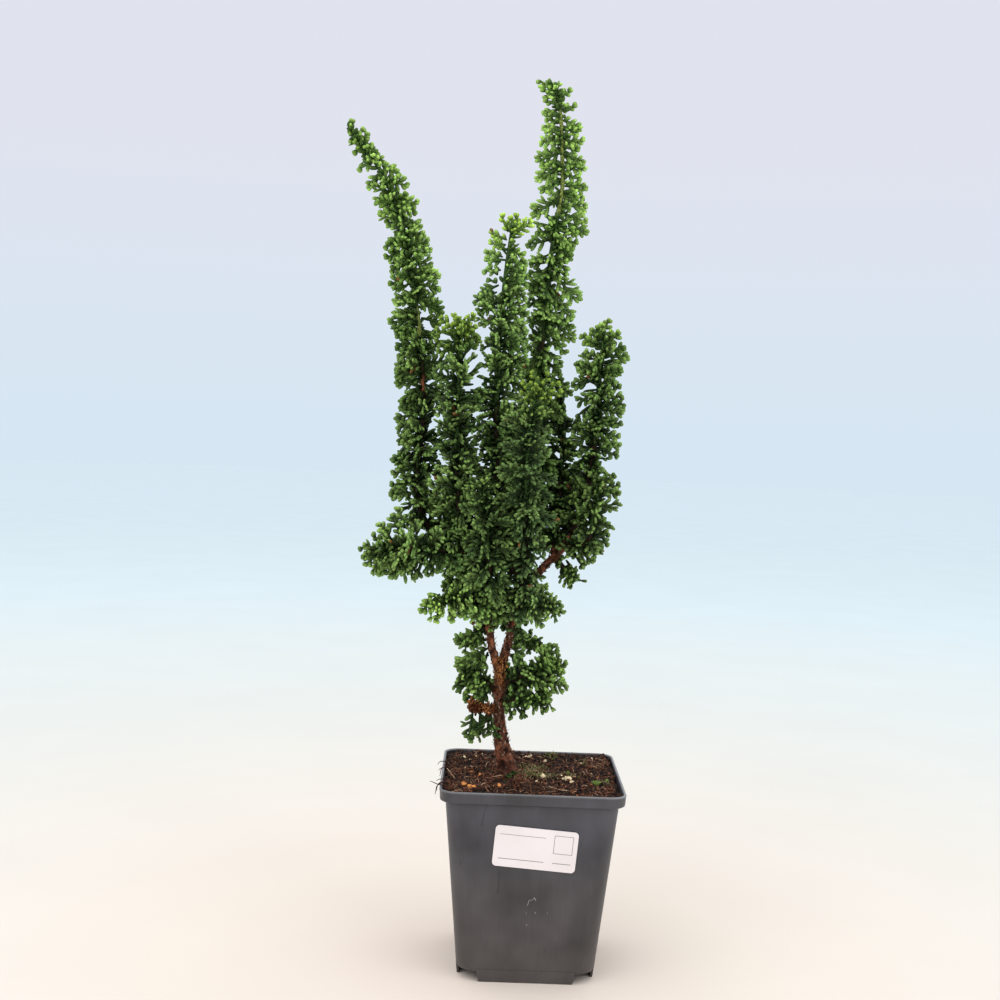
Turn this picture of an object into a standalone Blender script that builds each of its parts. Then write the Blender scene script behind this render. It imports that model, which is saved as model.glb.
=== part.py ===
"""Hinoki cypress bonsai in a square plastic nursery pot.

The pot stands on four short skirts and holds a root ball. The trunk stands in a plain hole in the
root ball, forks low down and carries leafy stems, each one a slim stem with lobed sprays all round.
Every place below is measured from the middle of the pot's foot. +Z is up and the front faces -Y.
The crown leans to -X, so an empty carries the whole tree sideways until the origin lies under the
middle of its extent.
"""

import math
import random

import bmesh
import bpy
from mathutils import Matrix, Quaternion, Vector, noise
from mathutils.bvhtree import BVHTree

MM = 0.001

# Where the middle of the pot's foot lies on the X axis, in metres
POT_OFFSET = 29.4 * MM

# Driving dimensions of the pot, in metres
POT_HEIGHT = 96 * MM
RIM_WIDTH = 90 * MM
RIM_BAND = 6 * MM
BODY_TOP_WIDTH = 84 * MM
FOOT_WIDTH = 67 * MM
WALL = 1.2 * MM
SKIRT_HEIGHT = 5 * MM
SKIRT_LENGTH = 48 * MM
RIM_CORNER = 8 * MM
FOOT_CORNER = 10 * MM
CORNER_STEPS = 4
LEDGE_RISE = 0.3 * MM
RIM_LEAN = 0.4 * MM
LIP_ROUND = 0.6 * MM
LIP_LEAN = 0.3 * MM
DRAIN_RADIUS = 4.5 * MM
DRAIN_OFFSET = 20 * MM
DRAIN_SIDES = 10
# How far a cutter reaches past what it cuts
BEYOND = 5 * MM
SHARP_EDGE = math.radians(30)

# The root ball
GAP = 0.3 * MM
SOIL_LEVEL = 92.6 * MM
SOIL_MOUND = 1.6 * MM
SOIL_MOUND_SPREAD = 16 * MM
SOIL_ROUGHNESS = 1.1 * MM
SOIL_GRAIN = 7 * MM
# The peat banks up towards the back: how far, from what depth on and over what distance
SOIL_BANK = 2.2 * MM
SOIL_BANK_FROM = 8 * MM
SOIL_BANK_RUN = 34 * MM
SOIL_RINGS = 8
# The surface's inner rings are rounder than the pot: the share of the half width added to a corner
RING_ROUNDING = 0.25
TRUNK_HOLE_RADIUS = 6.4 * MM
TRUNK_HOLE_FLOOR = 66 * MM
TRUNK_HOLE_SIDES = 12
TRUNK_FOOT = (-9.5 * MM, 4.5 * MM)

# The paper label on the pot's front
LABEL_SIZE = (40 * MM, 20.5 * MM, 0.4 * MM)
LABEL_CENTRE = (2.1 * MM, 68.7 * MM)
LABEL_CORNER = 2 * MM
LABEL_CORNER_STEPS = 3
LABEL_TILT = math.radians(-4)

# Woody limbs, base to end: x, y, z and radius in millimetres. A limb starts inside the one it leaves.
WOOD_STEP = 5.5
WOOD_SIDES = 8
# Swellings along a limb: their share of its radius and how fast they follow each other
SWELLING = 0.07
SWELLING_PACE = 2.4
BARK_EDGE = math.radians(50)
WOOD = {
    "trunk": [
        (-9.6, 4.5, 67, 4.4), (-9.6, 4.5, 84, 5.0), (-10.2, 4.5, 92, 5.0), (-12, 4.3, 97, 4.5),
        (-14, 3.9, 103.5, 3.8), (-15.6, 3.2, 111, 3.4), (-16.8, 2.2, 119, 3.2), (-17.5, 1.4, 128, 2.8),
        (-17.6, 0.8, 137, 2.7), (-17.8, 0.4, 144, 2.6), (-18, 0.3, 150, 2.4),
    ],
    "limb_left": [
        (-17.9, 0.5, 146, 2.2), (-20, 0.2, 152, 2.1), (-22.2, 0, 159, 2.0), (-23.6, 0, 168, 1.9),
        (-26.5, 0, 182, 1.9), (-31, 0.5, 191, 1.9), (-38, 2, 201, 1.8),
    ],
    "limb_right": [
        (-17.8, 0.5, 146, 2.3), (-16, 1.4, 153.5, 2.3), (-13.4, 3, 163, 2.1), (-11.4, 4, 173, 2.1),
        (-9.8, 4, 184, 2.0), (-10, 6.5, 194, 1.9), (-11, 8, 201, 1.8),
    ],
    "limb_east": [
        (-10.1, 4, 181, 1.7), (-5.1, 2.5, 190.5, 1.8), (3, 0.5, 201, 1.9), (11, 0, 209.5, 1.8),
        (15.3, 0, 216, 1.7),
    ],
    "stub": [(-17, 1.2, 126, 2.2), (-21, -0.5, 127, 2.1), (-23.9, -1, 127.3, 1.8)],
}

# Leafy stems, base to tip: x, y, z and the reach of the lobes round the stem, in millimetres.
LEAFY = {
    "leader_left": [
        (-38.3, 2.2, 201.9, 5), (-48, 3, 209, 11), (-57, 3.5, 219, 15), (-62.2, 4, 232, 15),
        (-62.6, 4.5, 246, 14.5), (-61.8, 5, 262, 14), (-61.2, 5, 282, 13.5), (-62.9, 5, 303, 14.3),
        (-65.7, 5, 324, 13.8), (-69.6, 4.5, 346, 12.5), (-73.4, 4, 363, 11), (-78.2, 3, 378, 10),
        (-86, 2, 393.8, 9), (-95.4, 0, 405.3, 7.5), (-101.8, -2, 412.9, 5.5), (-103.8, -2, 415, 4),
    ],
    "leader_left_short": [
        (-34.4, -1.6, 195, 5), (-36, -6, 201, 9), (-40, -10.5, 222, 13), (-42, -11.5, 243, 14),
        (-43.4, -12, 263, 13.5), (-43.6, -12, 283, 13), (-43.2, -12, 302, 12), (-43.1, -12, 313, 10.3),
        (-43, -12, 320, 6.5),
    ],
    "leader_centre": [
        (-12.5, 6.2, 196, 5), (-16.5, 4, 203, 9), (-20.5, -1, 222, 13), (-23, -4, 248, 13.5),
        (-24.4, -5, 273, 13.5), (-24.3, -5, 298, 13.3), (-24, -5, 322.6, 13), (-22.3, -5, 347, 11.8),
        (-20.8, -5, 361, 10), (-19.8, -5, 369, 6),
    ],
    "leader_tall": [
        (-11.2, 8.4, 202, 5), (-8.5, 11, 214, 11), (-5, 12, 234, 14.5), (-4, 12, 259, 14.5),
        (-3.4, 11, 284, 14), (-2.6, 10, 309, 13.7), (-1.6, 9, 330, 13.6), (-0.6, 7, 349.5, 13.2),
        (1.4, 5, 369, 13), (4.2, 4, 389, 12.3), (3.3, 3, 408.4, 11.8), (2, 2, 423.8, 9.6),
        (-0.8, 1, 435, 6.4), (-4.3, 0, 441, 4),
    ],
    "leader_front": [
        (-10, 1.2, 181, 5), (-9, -7, 187, 9), (-8, -20, 207, 13), (-8.4, -27, 230, 13.5),
        (-8.8, -29, 250, 13), (-8.6, -30, 269, 11.5), (-6.8, -30, 282, 8), (-5.4, -30, 288, 5),
    ],
    "leader_right": [
        (15.7, 0, 216.8, 5), (18.4, 0, 225.6, 10.5), (22.3, 0, 240, 12), (24.6, 0, 257.5, 12),
        (26.6, 0, 275, 12.2), (26.2, 0, 292.6, 12.4), (27.6, 0, 307, 12.6), (27.2, 0, 314.5, 10.3),
        (26.6, 0, 319.5, 6.3),
    ],
    "right_inner": [
        (7.2, 2.4, 208, 5), (8, 8, 214, 9), (8.8, 12.5, 226, 12), (9.5, 14, 240, 11.5),
        (10.2, 14.5, 258, 10.5), (9.4, 14, 275, 9), (8.8, 13.5, 286, 5),
    ],
    "right_outer": [
        (13, -2, 212, 4), (18, -7, 211, 10.5), (23.3, -12, 216, 11.5), (25.4, -14, 228, 10.3),
        (26.6, -14, 238, 8.5), (27, -14, 246, 5),
    ],
    "left_spread": [
        (-33, -1.5, 191.2, 4), (-38, -6, 199, 9), (-47, -10, 207, 13), (-58, -12, 209, 16.5),
        (-68.5, -14, 208, 16.5), (-77, -14, 206, 12), (-83.5, -13, 205.7, 5),
    ],
    "middle_front": [
        (-27.8, -2.4, 182.3, 4), (-26.5, -9, 187, 9), (-25, -20, 199, 14), (-26.5, -26, 217, 13),
        (-28.5, -27, 234, 10), (-28.8, -27, 243, 5),
    ],
    "front_low_left": [
        (-24.6, -2.3, 172.5, 4), (-27, -10, 179, 10), (-34, -18, 185, 12.5), (-42, -23, 186, 12),
        (-48, -26, 184, 8), (-52, -28, 181.5, 4.5),
    ],
    "front_low_right": [
        (-10.6, 1.6, 174.5, 4), (-11, -7, 180, 8), (-7, -16, 183, 10.5), (-0.5, -21, 184, 9.5),
        (4, -23, 183.5, 7.5), (8, -24, 182, 4),
    ],
    "low_left": [
        (-20.3, -0.4, 137, 4), (-24, -4, 142, 11.5), (-28.5, -5, 145, 13), (-33.5, -6, 146.5, 10.5),
        (-36.5, -6, 148, 4.5),
    ],
    "low_left_droop": [
        (-21.6, -1.9, 124.2, 3), (-24.8, -5, 121.2, 6), (-27.2, -6.5, 118.2, 6.5), (-28.6, -7, 115.8, 4),
    ],
    "low_right": [
        (-15.1, -2, 140.5, 4), (-9, -6, 144.5, 13), (-0.7, -8, 148, 14), (6.6, -7, 150.5, 12),
        (11.8, -6, 152, 5),
    ],
    "low_right_under": [
        (-14.8, -1.4, 131.5, 4), (-8.8, -8, 134, 8.5), (-2.2, -10, 135, 8.5), (2.5, -10, 135, 6.5),
        (6.5, -10, 135, 4),
    ],
    "under_left": [
        (-26.2, 1.2, 169.5, 3.5), (-28.8, 2.5, 165, 8.5), (-33, 3, 161.5, 9), (-37, 3, 160, 4.5),
    ],
    "under_right": [(-10.6, 3.8, 165, 3.5), (-6, 5, 162.5, 9), (-1.2, 5, 161, 9), (3, 5, 158.5, 4.5)],
    "right_low": [
        (7.7, -1.8, 205.3, 3.5), (11.4, -3, 201.4, 6), (15.5, -4, 197.5, 5.5), (17.7, -4, 195, 3.5),
    ],
    "back_left": [
        (-33.5, 2.6, 196, 4), (-36, 10, 202, 10), (-40, 20, 217, 14), (-42, 26, 240, 13),
        (-43, 27, 262, 10), (-43, 27, 272, 5),
    ],
    "back_centre": [
        (-11, 10.3, 197, 4), (-12.5, 17, 203, 10), (-15, 26, 219, 14), (-17, 31, 243, 13),
        (-17, 32, 266, 10), (-17, 32, 277, 5),
    ],
    "back_right": [
        (10.6, 1.9, 209.5, 4), (12, 9, 215, 8), (14, 18, 222, 13), (16, 24, 232, 12.5),
        (17, 25, 243, 9), (17, 25, 249, 5),
    ],
    "back_low": [
        (-11.4, 6.5, 170, 4), (-12, 15, 174, 12), (-15, 25, 179, 13), (-19, 32, 184, 9),
        (-20, 35, 187, 5),
    ],
    "back_low_left": [
        (-25.5, 2.3, 176, 4), (-30, 10, 179, 8), (-37, 18, 183, 12), (-44, 22, 186, 9),
        (-48, 23, 187, 5),
    ],
    "back_low_right": [
        (-7.4, 5.8, 188, 4), (-5.5, 13, 184, 8), (-2, 20, 181, 9.5), (2, 25, 180.5, 8), (4, 28, 180.5, 5),
    ],
    "low_back": [(-17, 3.9, 131, 4), (-15, 10, 134, 8), (-13, 18, 139, 10), (-11, 23, 143, 5)],
}
DRY_TUFT = [(-24.6, -1.1, 127.3, 2.5), (-27, -1.5, 128.2, 6), (-30, -1.6, 129, 6), (-32.5, -1.6, 129.5, 3)]

# A leafy stem is a slim core with whorls of flat hands, each with three lobes. Sizes are millimetres.
WHORL_STEP = 6.4
HAND_WIDTH = 10.8
HANDS_LEAST, HANDS_MOST = 4, 7
# The hands are as wide as their sector at this share of the stem's mean reach
WIDTH_AT = 0.62
CORE_SHARE = 0.40
CORE_LEAST = 1.1
# The corners of a hand's outline, each as shares of its sector, of its reach and of its lift.
# It runs from the middle lobe to one side lobe, the deep valley and the next hand's side lobe.
VALLEY = 0.5
HAND_OUTLINE = (
    (0, 1, 1), (0.17, 0.68, 0.4), (0.33, 0.88, 0.8),
    (VALLEY, 0.50, 0), (0.67, 0.88, 0.8), (0.83, 0.68, 0.4),
)
HAND_REACH = (0.72, 1.12)
HAND_LIFT = (-0.30, 0.70)
LOBE_SPREAD = 0.12
TURN_SPREAD = 0.16
CORE_JITTER = 1.2
# What crosses is drawn in by this share a round until it is clear
CLEARANCE = 0.3
SHRINK = 0.92
SHRINK_ROUNDS = 40
SEED = 11

# A route is a smooth curve through its points, first cut into this many pieces between two points
CURVE_PIECES = 8
WELD = 0.01 * MM

LEAF_GREEN = (0.045, 0.13, 0.03, 1)
BARK_BROWN = (0.16, 0.055, 0.03, 1)
DRY_BROWN = (0.35, 0.13, 0.035, 1)
POT_GREY = (0.045, 0.047, 0.055, 1)
SOIL_BROWN = (0.045, 0.022, 0.014, 1)
LABEL_WHITE = (0.82, 0.80, 0.81, 1)


def clear_scene():
    for obj in list(bpy.data.objects):
        bpy.data.objects.remove(obj, do_unlink=True)


def new_collection(name):
    made = bpy.data.collections.new(name)
    bpy.context.scene.collection.children.link(made)
    return made


def new_material(name, colour, roughness):
    material = bpy.data.materials.new(name)
    material.use_nodes = True
    shader = material.node_tree.nodes["Principled BSDF"]
    shader.inputs["Base Color"].default_value = colour
    shader.inputs["Roughness"].default_value = roughness
    shader.inputs["Metallic"].default_value = 0
    return material


def object_from(name, mesh, collection, material=None):
    obj = bpy.data.objects.new(name, mesh)
    collection.objects.link(obj)
    if material:
        mesh.materials.clear()
        mesh.materials.append(material)
    return obj


def mesh_from(name, bm):
    bmesh.ops.recalc_face_normals(bm, faces=bm.faces)
    mesh = bpy.data.meshes.new(name)
    bm.to_mesh(mesh)
    bm.free()
    return mesh


def apply_modifiers(obj):
    """Replaces the object's mesh with the one its modifiers make."""
    graph = bpy.context.evaluated_depsgraph_get()
    made = bpy.data.meshes.new_from_object(obj.evaluated_get(graph))
    obj.modifiers.clear()
    obj.data = made


def boolean(obj, operation, other=None, collection=None, solver="EXACT"):
    """Cuts or joins with one object or with a collection, applies it and removes what was used."""
    modifier = obj.modifiers.new("join" if operation == "UNION" else "cut", "BOOLEAN")
    modifier.operation = operation
    modifier.solver = solver
    if other:
        modifier.object = other
        used = [other]
    else:
        modifier.operand_type = "COLLECTION"
        modifier.collection = collection
        used = list(collection.objects)
    apply_modifiers(obj)
    for tool in used:
        bpy.data.objects.remove(tool, do_unlink=True)


def rounded_square(half, corner, z):
    """Points of a square outline with round corners, counter-clockwise from above."""
    points = []
    for quarter in range(4):
        middle = math.pi / 4 + quarter * math.pi / 2
        x = math.copysign(half - corner, math.cos(middle))
        y = math.copysign(half - corner, math.sin(middle))
        for step in range(CORNER_STEPS + 1):
            angle = quarter * math.pi / 2 + step * math.pi / 2 / CORNER_STEPS
            points.append((x + corner * math.cos(angle), y + corner * math.sin(angle), z))
    return points


def loft(name, sections):
    """A closed mesh through rounded squares, each given as half width, corner radius and height."""
    bm = bmesh.new()
    loops = [[bm.verts.new(p) for p in rounded_square(*section)] for section in sections]
    count = len(loops[0])
    for low, high in zip(loops, loops[1:]):
        for i in range(count):
            j = (i + 1) % count
            bm.faces.new((low[i], low[j], high[j], high[i]))
    bm.faces.new(reversed(loops[0]))
    bm.faces.new(loops[-1])
    return mesh_from(name, bm)


def cylinder(name, radius, low, high, x, y, sides, collection):
    bm = bmesh.new()
    bmesh.ops.create_cone(
        bm, cap_ends=True, segments=sides, radius1=radius, radius2=radius, depth=high - low,
        matrix=Matrix.Translation((x, y, (low + high) / 2)),
    )
    return object_from(name, mesh_from(name, bm), collection)


def body_half(z):
    """The tapered body's outer half width at a height."""
    return (FOOT_WIDTH + (BODY_TOP_WIDTH - FOOT_WIDTH) * z / (POT_HEIGHT - RIM_BAND)) / 2


def body_corner(z):
    return FOOT_CORNER + (RIM_CORNER - FOOT_CORNER) * z / POT_HEIGHT


def inner_sections(gap, low, top):
    """Rounded squares of the pot's inside, held off its wall and its ledge by a gap."""
    ledge = POT_HEIGHT - RIM_BAND + WALL + gap
    inset = WALL + gap
    return [
        (body_half(low) - inset, body_corner(low) - inset, low),
        (body_half(ledge) - inset, body_corner(ledge) - inset, ledge),
        (RIM_WIDTH / 2 - inset, RIM_CORNER - WALL, ledge + LEDGE_RISE),
        (RIM_WIDTH / 2 - inset, RIM_CORNER - WALL, top),
    ]


def corner_notch(side_x, side_y, cutters):
    """A block that takes the skirt away at one corner of the foot."""
    side = (FOOT_WIDTH - SKIRT_LENGTH) / 2 + BEYOND
    middle = (SKIRT_LENGTH + side) / 2
    place = Matrix.Translation((side_x * middle, side_y * middle, (SKIRT_HEIGHT - BEYOND) / 2))
    bm = bmesh.new()
    size = Matrix.Diagonal((side, side, SKIRT_HEIGHT + BEYOND, 1))
    bmesh.ops.create_cube(bm, size=1, matrix=place @ size)
    return object_from("notch", mesh_from("notch", bm), cutters)


def build_pot(collection, cutters, material):
    band = POT_HEIGHT - RIM_BAND
    floor = SKIRT_HEIGHT + WALL
    outside = loft("pot", [
        (body_half(0), FOOT_CORNER, 0),
        (body_half(band), body_corner(band), band),
        (RIM_WIDTH / 2 - RIM_LEAN, RIM_CORNER, band + LEDGE_RISE),
        (RIM_WIDTH / 2, RIM_CORNER, POT_HEIGHT - LIP_ROUND),
        (RIM_WIDTH / 2 - LIP_LEAN, RIM_CORNER, POT_HEIGHT),
    ])
    pot = object_from("pot", outside, collection, material)
    inside = loft("inside", inner_sections(0, floor, POT_HEIGHT + BEYOND))
    boolean(pot, "DIFFERENCE", object_from("inside", inside, cutters))
    under = loft("under", [
        (body_half(0) - WALL, FOOT_CORNER - WALL, -BEYOND),
        (body_half(SKIRT_HEIGHT) - WALL, FOOT_CORNER - WALL, SKIRT_HEIGHT),
    ])
    boolean(pot, "DIFFERENCE", object_from("under", under, cutters))
    for side_x in (-1, 1):
        for side_y in (-1, 1):
            boolean(pot, "DIFFERENCE", corner_notch(side_x, side_y, cutters))
            drain = cylinder(
                "drain", DRAIN_RADIUS, SKIRT_HEIGHT - BEYOND, floor + BEYOND,
                side_x * DRAIN_OFFSET, side_y * DRAIN_OFFSET, DRAIN_SIDES, cutters,
            )
            boolean(pot, "DIFFERENCE", drain)
    pot.data.set_sharp_from_angle(angle=SHARP_EDGE)
    return pot


def soil_height(x, y):
    """The root ball's surface: a low mound round the trunk, a bank at the back and raised crumbs."""
    away = math.hypot(x - TRUNK_FOOT[0], y - TRUNK_FOOT[1])
    mound = SOIL_MOUND * math.exp(-((away / SOIL_MOUND_SPREAD) ** 2))
    bank = SOIL_BANK * max(0, y - SOIL_BANK_FROM) / SOIL_BANK_RUN
    crumb = noise.noise(Vector((x, y, 0)) / SOIL_GRAIN) * SOIL_ROUGHNESS
    return SOIL_LEVEL + mound + bank + crumb


def build_soil(collection, cutters, material):
    floor = SKIRT_HEIGHT + WALL + GAP
    sections = inner_sections(GAP, floor, SOIL_LEVEL)
    half, corner, _ = sections[-1]
    for ring in range(1, SOIL_RINGS):
        share = 1 - ring / SOIL_RINGS
        rounder = half * RING_ROUNDING * (1 - share)
        sections.append((half * share, (corner + rounder) * share, SOIL_LEVEL))
    mesh = loft("soil", sections)
    for vertex in mesh.vertices:
        if vertex.co.z > SOIL_LEVEL - GAP / 2:
            vertex.co.z = soil_height(vertex.co.x, vertex.co.y)
    soil = object_from("soil", mesh, collection, material)
    hole = cylinder(
        "trunk_hole", TRUNK_HOLE_RADIUS, TRUNK_HOLE_FLOOR, POT_HEIGHT + BEYOND,
        *TRUNK_FOOT, TRUNK_HOLE_SIDES, cutters,
    )
    boolean(soil, "DIFFERENCE", hole)
    return soil


def build_label(collection, material):
    """A thin plate with round corners that lies along the pot's sloping front."""
    width, height, thickness = LABEL_SIZE
    bm = bmesh.new()
    bmesh.ops.create_cube(bm, size=1, matrix=Matrix.Diagonal((width, height, thickness, 1)))
    upright = [e for e in bm.edges if abs(e.verts[0].co.z - e.verts[1].co.z) > thickness / 2]
    bmesh.ops.bevel(
        bm, geom=upright, offset=LABEL_CORNER, segments=LABEL_CORNER_STEPS, affect="EDGES", profile=0.5,
    )
    x, z = LABEL_CENTRE
    slope = math.atan2(body_half(POT_HEIGHT) - body_half(0), POT_HEIGHT)
    label = object_from("label", mesh_from("label", bm), collection, material)
    label.rotation_mode = "QUATERNION"
    facing = Quaternion((1, 0, 0), math.pi / 2 + slope)
    label.rotation_quaternion = facing @ Quaternion((0, 0, 1), LABEL_TILT)
    outward = facing @ Vector((0, 0, 1))
    label.location = Vector((x, -body_half(z), z)) + outward * (GAP + thickness / 2)
    return label


def smooth_curve(route):
    """Close points on a smooth curve through a route's own points, with their fourth value."""
    knots = [Vector(p) for p in route]
    dense = []
    for i in range(len(knots) - 1):
        before = knots[max(i - 1, 0)]
        after = knots[min(i + 2, len(knots) - 1)]
        a, b = knots[i], knots[i + 1]
        for k in range(CURVE_PIECES):
            t = k / CURVE_PIECES
            square = (2 * before - 5 * a + 4 * b - after) * t * t
            cube = (3 * a - before - 3 * b + after) * t * t * t
            dense.append((2 * a + (b - before) * t + square + cube) / 2)
    dense.append(knots[-1])
    return dense


def route_points(route, step):
    """The curve through a route, cut into equal lengths of about the step."""
    dense = smooth_curve(route)
    lengths = [0.0]
    for a, b in zip(dense, dense[1:]):
        lengths.append(lengths[-1] + (b.xyz - a.xyz).length)
    count = max(2, round(lengths[-1] / step))
    points, at = [], 0
    for k in range(count + 1):
        goal = lengths[-1] * k / count
        while at < len(dense) - 2 and lengths[at + 1] < goal:
            at += 1
        share = (goal - lengths[at]) / (lengths[at + 1] - lengths[at])
        points.append(dense[at].lerp(dense[at + 1], min(share, 1.0)))
    return points


def tube_mesh(name, points, collection, sides):
    """A tapered tube with closed ends through points whose fourth value is the radius, in millimetres."""
    curve = bpy.data.curves.new(name, "CURVE")
    curve.dimensions = "3D"
    curve.bevel_depth = MM
    curve.bevel_resolution = sides // 2 - 2
    curve.use_fill_caps = True
    spline = curve.splines.new("POLY")
    spline.points.add(len(points) - 1)
    for knot, p in zip(spline.points, points):
        knot.co = (p.x * MM, p.y * MM, p.z * MM, 1)
        knot.radius = p.w
    guide = bpy.data.objects.new(name, curve)
    collection.objects.link(guide)
    graph = bpy.context.evaluated_depsgraph_get()
    mesh = bpy.data.meshes.new_from_object(guide.evaluated_get(graph))
    bpy.data.objects.remove(guide, do_unlink=True)
    bm = bmesh.new()
    bm.from_mesh(mesh)
    bmesh.ops.remove_doubles(bm, verts=bm.verts, dist=WELD)
    bpy.data.meshes.remove(mesh)
    return mesh_from(name, bm)


def build_wood(collection, cutters, material):
    """The trunk with its limbs fused into one solid."""
    parts = []
    for name, route in WOOD.items():
        points = route_points(route, WOOD_STEP)
        for i, p in enumerate(points):
            p.w *= 1 + SWELLING * math.sin(SWELLING_PACE * i + len(name))
        parts.append(object_from(name, tube_mesh(name, points, cutters, WOOD_SIDES), cutters))
    trunk = parts[0]
    cutters.objects.unlink(trunk)
    collection.objects.link(trunk)
    trunk.data.materials.append(material)
    boolean(trunk, "UNION", collection=cutters)
    trunk.data.set_sharp_from_angle(angle=BARK_EDGE)
    return trunk


def stem_frames(points):
    """A stem's directions at each point: along it, and two across it that turn as little as they can."""
    frames = []
    across = None
    for i in range(len(points)):
        along = (points[min(i + 1, len(points) - 1)].xyz - points[max(i - 1, 0)].xyz).normalized()
        if across is None:
            across = along.orthogonal()
        across = (across - along * across.dot(along)).normalized()
        frames.append((along, across, along.cross(across)))
    return frames


def tree_of(mesh):
    return BVHTree.FromPolygons([v.co for v in mesh.vertices], [tuple(p.vertices) for p in mesh.polygons])


class Whorls:
    """The core of a leafy stem. Each corner is an axis point and an arm from it that can be drawn in."""

    def __init__(self, route, rng):
        points = route_points(route, WHORL_STEP / 2)
        frames = stem_frames(points)
        reach = sum(p.w for p in points) / len(points)
        count = min(HANDS_MOST, max(HANDS_LEAST, round(math.tau * WIDTH_AT * reach / HAND_WIDTH)))
        last = len(points) - 1
        self.axis, self.arms, self.faces = [], [], []
        ring, turn = [], rng.uniform(0, math.tau)
        for i in range(0, last + 1, 2):
            core = self.core_ring(points[i], frames[i], count, turn, rng, i == 0)
            if ring:
                self.join(core, ring, len(HAND_OUTLINE) // 2, False)
            else:
                self.faces.append(tuple(reversed(core)))
            ring = core
            if i + 1 < last:
                ring = self.hand_ring(points[i + 1], frames[i + 1], count, turn, rng)
                self.join(core, ring, 0, True)
                turn += math.pi / count
        self.axis.append(points[-1].xyz)
        self.arms.append(Vector((0, 0, 0)))
        tip = len(self.axis) - 1
        for j in range(len(ring)):
            self.faces.append((ring[j], ring[(j + 1) % len(ring)], tip))

    def add(self, point, frame, angle, arm, lift):
        along, across, over = frame
        self.axis.append(point.xyz)
        self.arms.append((across * math.cos(angle) + over * math.sin(angle)) * arm + along * lift)
        return len(self.axis) - 1

    def core_ring(self, point, frame, count, turn, rng, first):
        arm = CORE_LEAST if first else max(point.w * CORE_SHARE, CORE_LEAST)
        made = []
        for j in range(count):
            lift = 0 if first else rng.uniform(-CORE_JITTER, CORE_JITTER)
            made.append(self.add(point, frame, turn + j * math.tau / count, arm, lift))
        return made

    def hand_ring(self, point, frame, count, turn, rng):
        """The edge of a whorl: hand after hand, the middle lobe of the first one at the angle of turn."""
        sector = math.tau / count
        made = []
        for j in range(count):
            reach = point.w * rng.uniform(*HAND_REACH)
            lift = point.w * rng.uniform(*HAND_LIFT)
            swing = rng.uniform(-TURN_SPREAD, TURN_SPREAD)
            for across, out, rise in HAND_OUTLINE:
                if across == VALLEY:
                    angle = turn + (j + across) * sector
                    arm = out * point.w
                else:
                    angle = turn + (j + across + swing) * sector
                    arm = out * reach * rng.uniform(1 - LOBE_SPREAD, 1 + LOBE_SPREAD)
                made.append(self.add(point, frame, angle, max(arm, CORE_LEAST), rise * lift))
        return made

    def join(self, core, edge, shift, below):
        """Faces between a ring of the core and the edge of a whorl, with the core below it or above it."""
        count, each = len(core), len(edge) // len(core)
        for j in range(count):
            here, after = core[j], core[(j + 1) % count]
            first = j * each + shift - each // 2
            for k in range(first, first + each):
                a, b = edge[k % len(edge)], edge[(k + 1) % len(edge)]
                self.faces.append((here, b, a) if below else (a, b, here))
            end = edge[(first + each) % len(edge)]
            self.faces.append((here, after, end) if below else (end, after, here))

    def corners(self, swell=0.0):
        """Where the corners are, in metres, with the arms made longer by swell millimetres."""
        return [(a + v + v.normalized() * swell) * MM for a, v in zip(self.axis, self.arms)]

    def tree(self, swell=0.0):
        return BVHTree.FromPolygons(self.corners(swell), self.faces)

    def draw_in(self, hit):
        """Shortens the arms of the faces that hit something."""
        for corner in {c for face in hit for c in self.faces[face]}:
            self.arms[corner] *= SHRINK

    def mesh(self, name):
        mesh = bpy.data.meshes.new(name)
        mesh.from_pydata(self.corners(), [], self.faces)
        return mesh


def crossings(faces, tree):
    """The faces of one core that cross others of it, which neighbours with a common corner don't."""
    return {a for a, b in tree.overlap(tree) if not set(faces[a]) & set(faces[b])}


def clear_cores(cores, fixed):
    """Draws the lobes in until no core crosses itself, another one, the wood, the soil or the pot."""
    for _ in range(SHRINK_ROUNDS):
        trees = {name: core.tree(CLEARANCE) for name, core in cores.items()}
        hits = {name: set() for name in cores}
        names = list(cores)
        for i, name in enumerate(names):
            hits[name].update(crossings(cores[name].faces, trees[name]))
            for tree in fixed:
                hits[name].update(a for a, b in trees[name].overlap(tree))
            for other in names[i + 1:]:
                for a, b in trees[name].overlap(trees[other]):
                    hits[name].add(a)
                    hits[other].add(b)
        if not any(hits.values()):
            return
        for name, hit in hits.items():
            cores[name].draw_in(hit)


def build_leafy(routes, fixed, collection, materials):
    rng = random.Random(SEED)
    cores = {name: Whorls(route, rng) for name, route in routes.items()}
    clear_cores(cores, fixed)
    for name, core in cores.items():
        object_from(name, core.mesh(name), collection, materials.get(name, materials["leaf"]))


def main():
    clear_scene()
    parts = new_collection("hinoki_cypress_bonsai")
    cutters = new_collection("cutters")
    leaf = new_material("leaf", LEAF_GREEN, 0.55)
    dry = new_material("dry", DRY_BROWN, 0.8)
    bark = new_material("bark", BARK_BROWN, 0.85)
    pot = build_pot(parts, cutters, new_material("pot", POT_GREY, 0.45))
    soil = build_soil(parts, cutters, new_material("soil", SOIL_BROWN, 0.95))
    build_label(parts, new_material("label", LABEL_WHITE, 0.5))
    trunk = build_wood(parts, cutters, bark)
    fixed = [tree_of(piece.data) for piece in (pot, soil, trunk)]
    routes = dict(LEAFY, dry_tuft=DRY_TUFT)
    build_leafy(routes, fixed, parts, {"leaf": leaf, "dry_tuft": dry})
    foot = bpy.data.objects.new("pot_foot_middle", None)
    bpy.context.scene.collection.objects.link(foot)
    foot.location.x = POT_OFFSET
    for piece in parts.objects:
        piece.parent = foot


main()
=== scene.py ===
import math
import random

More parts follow.
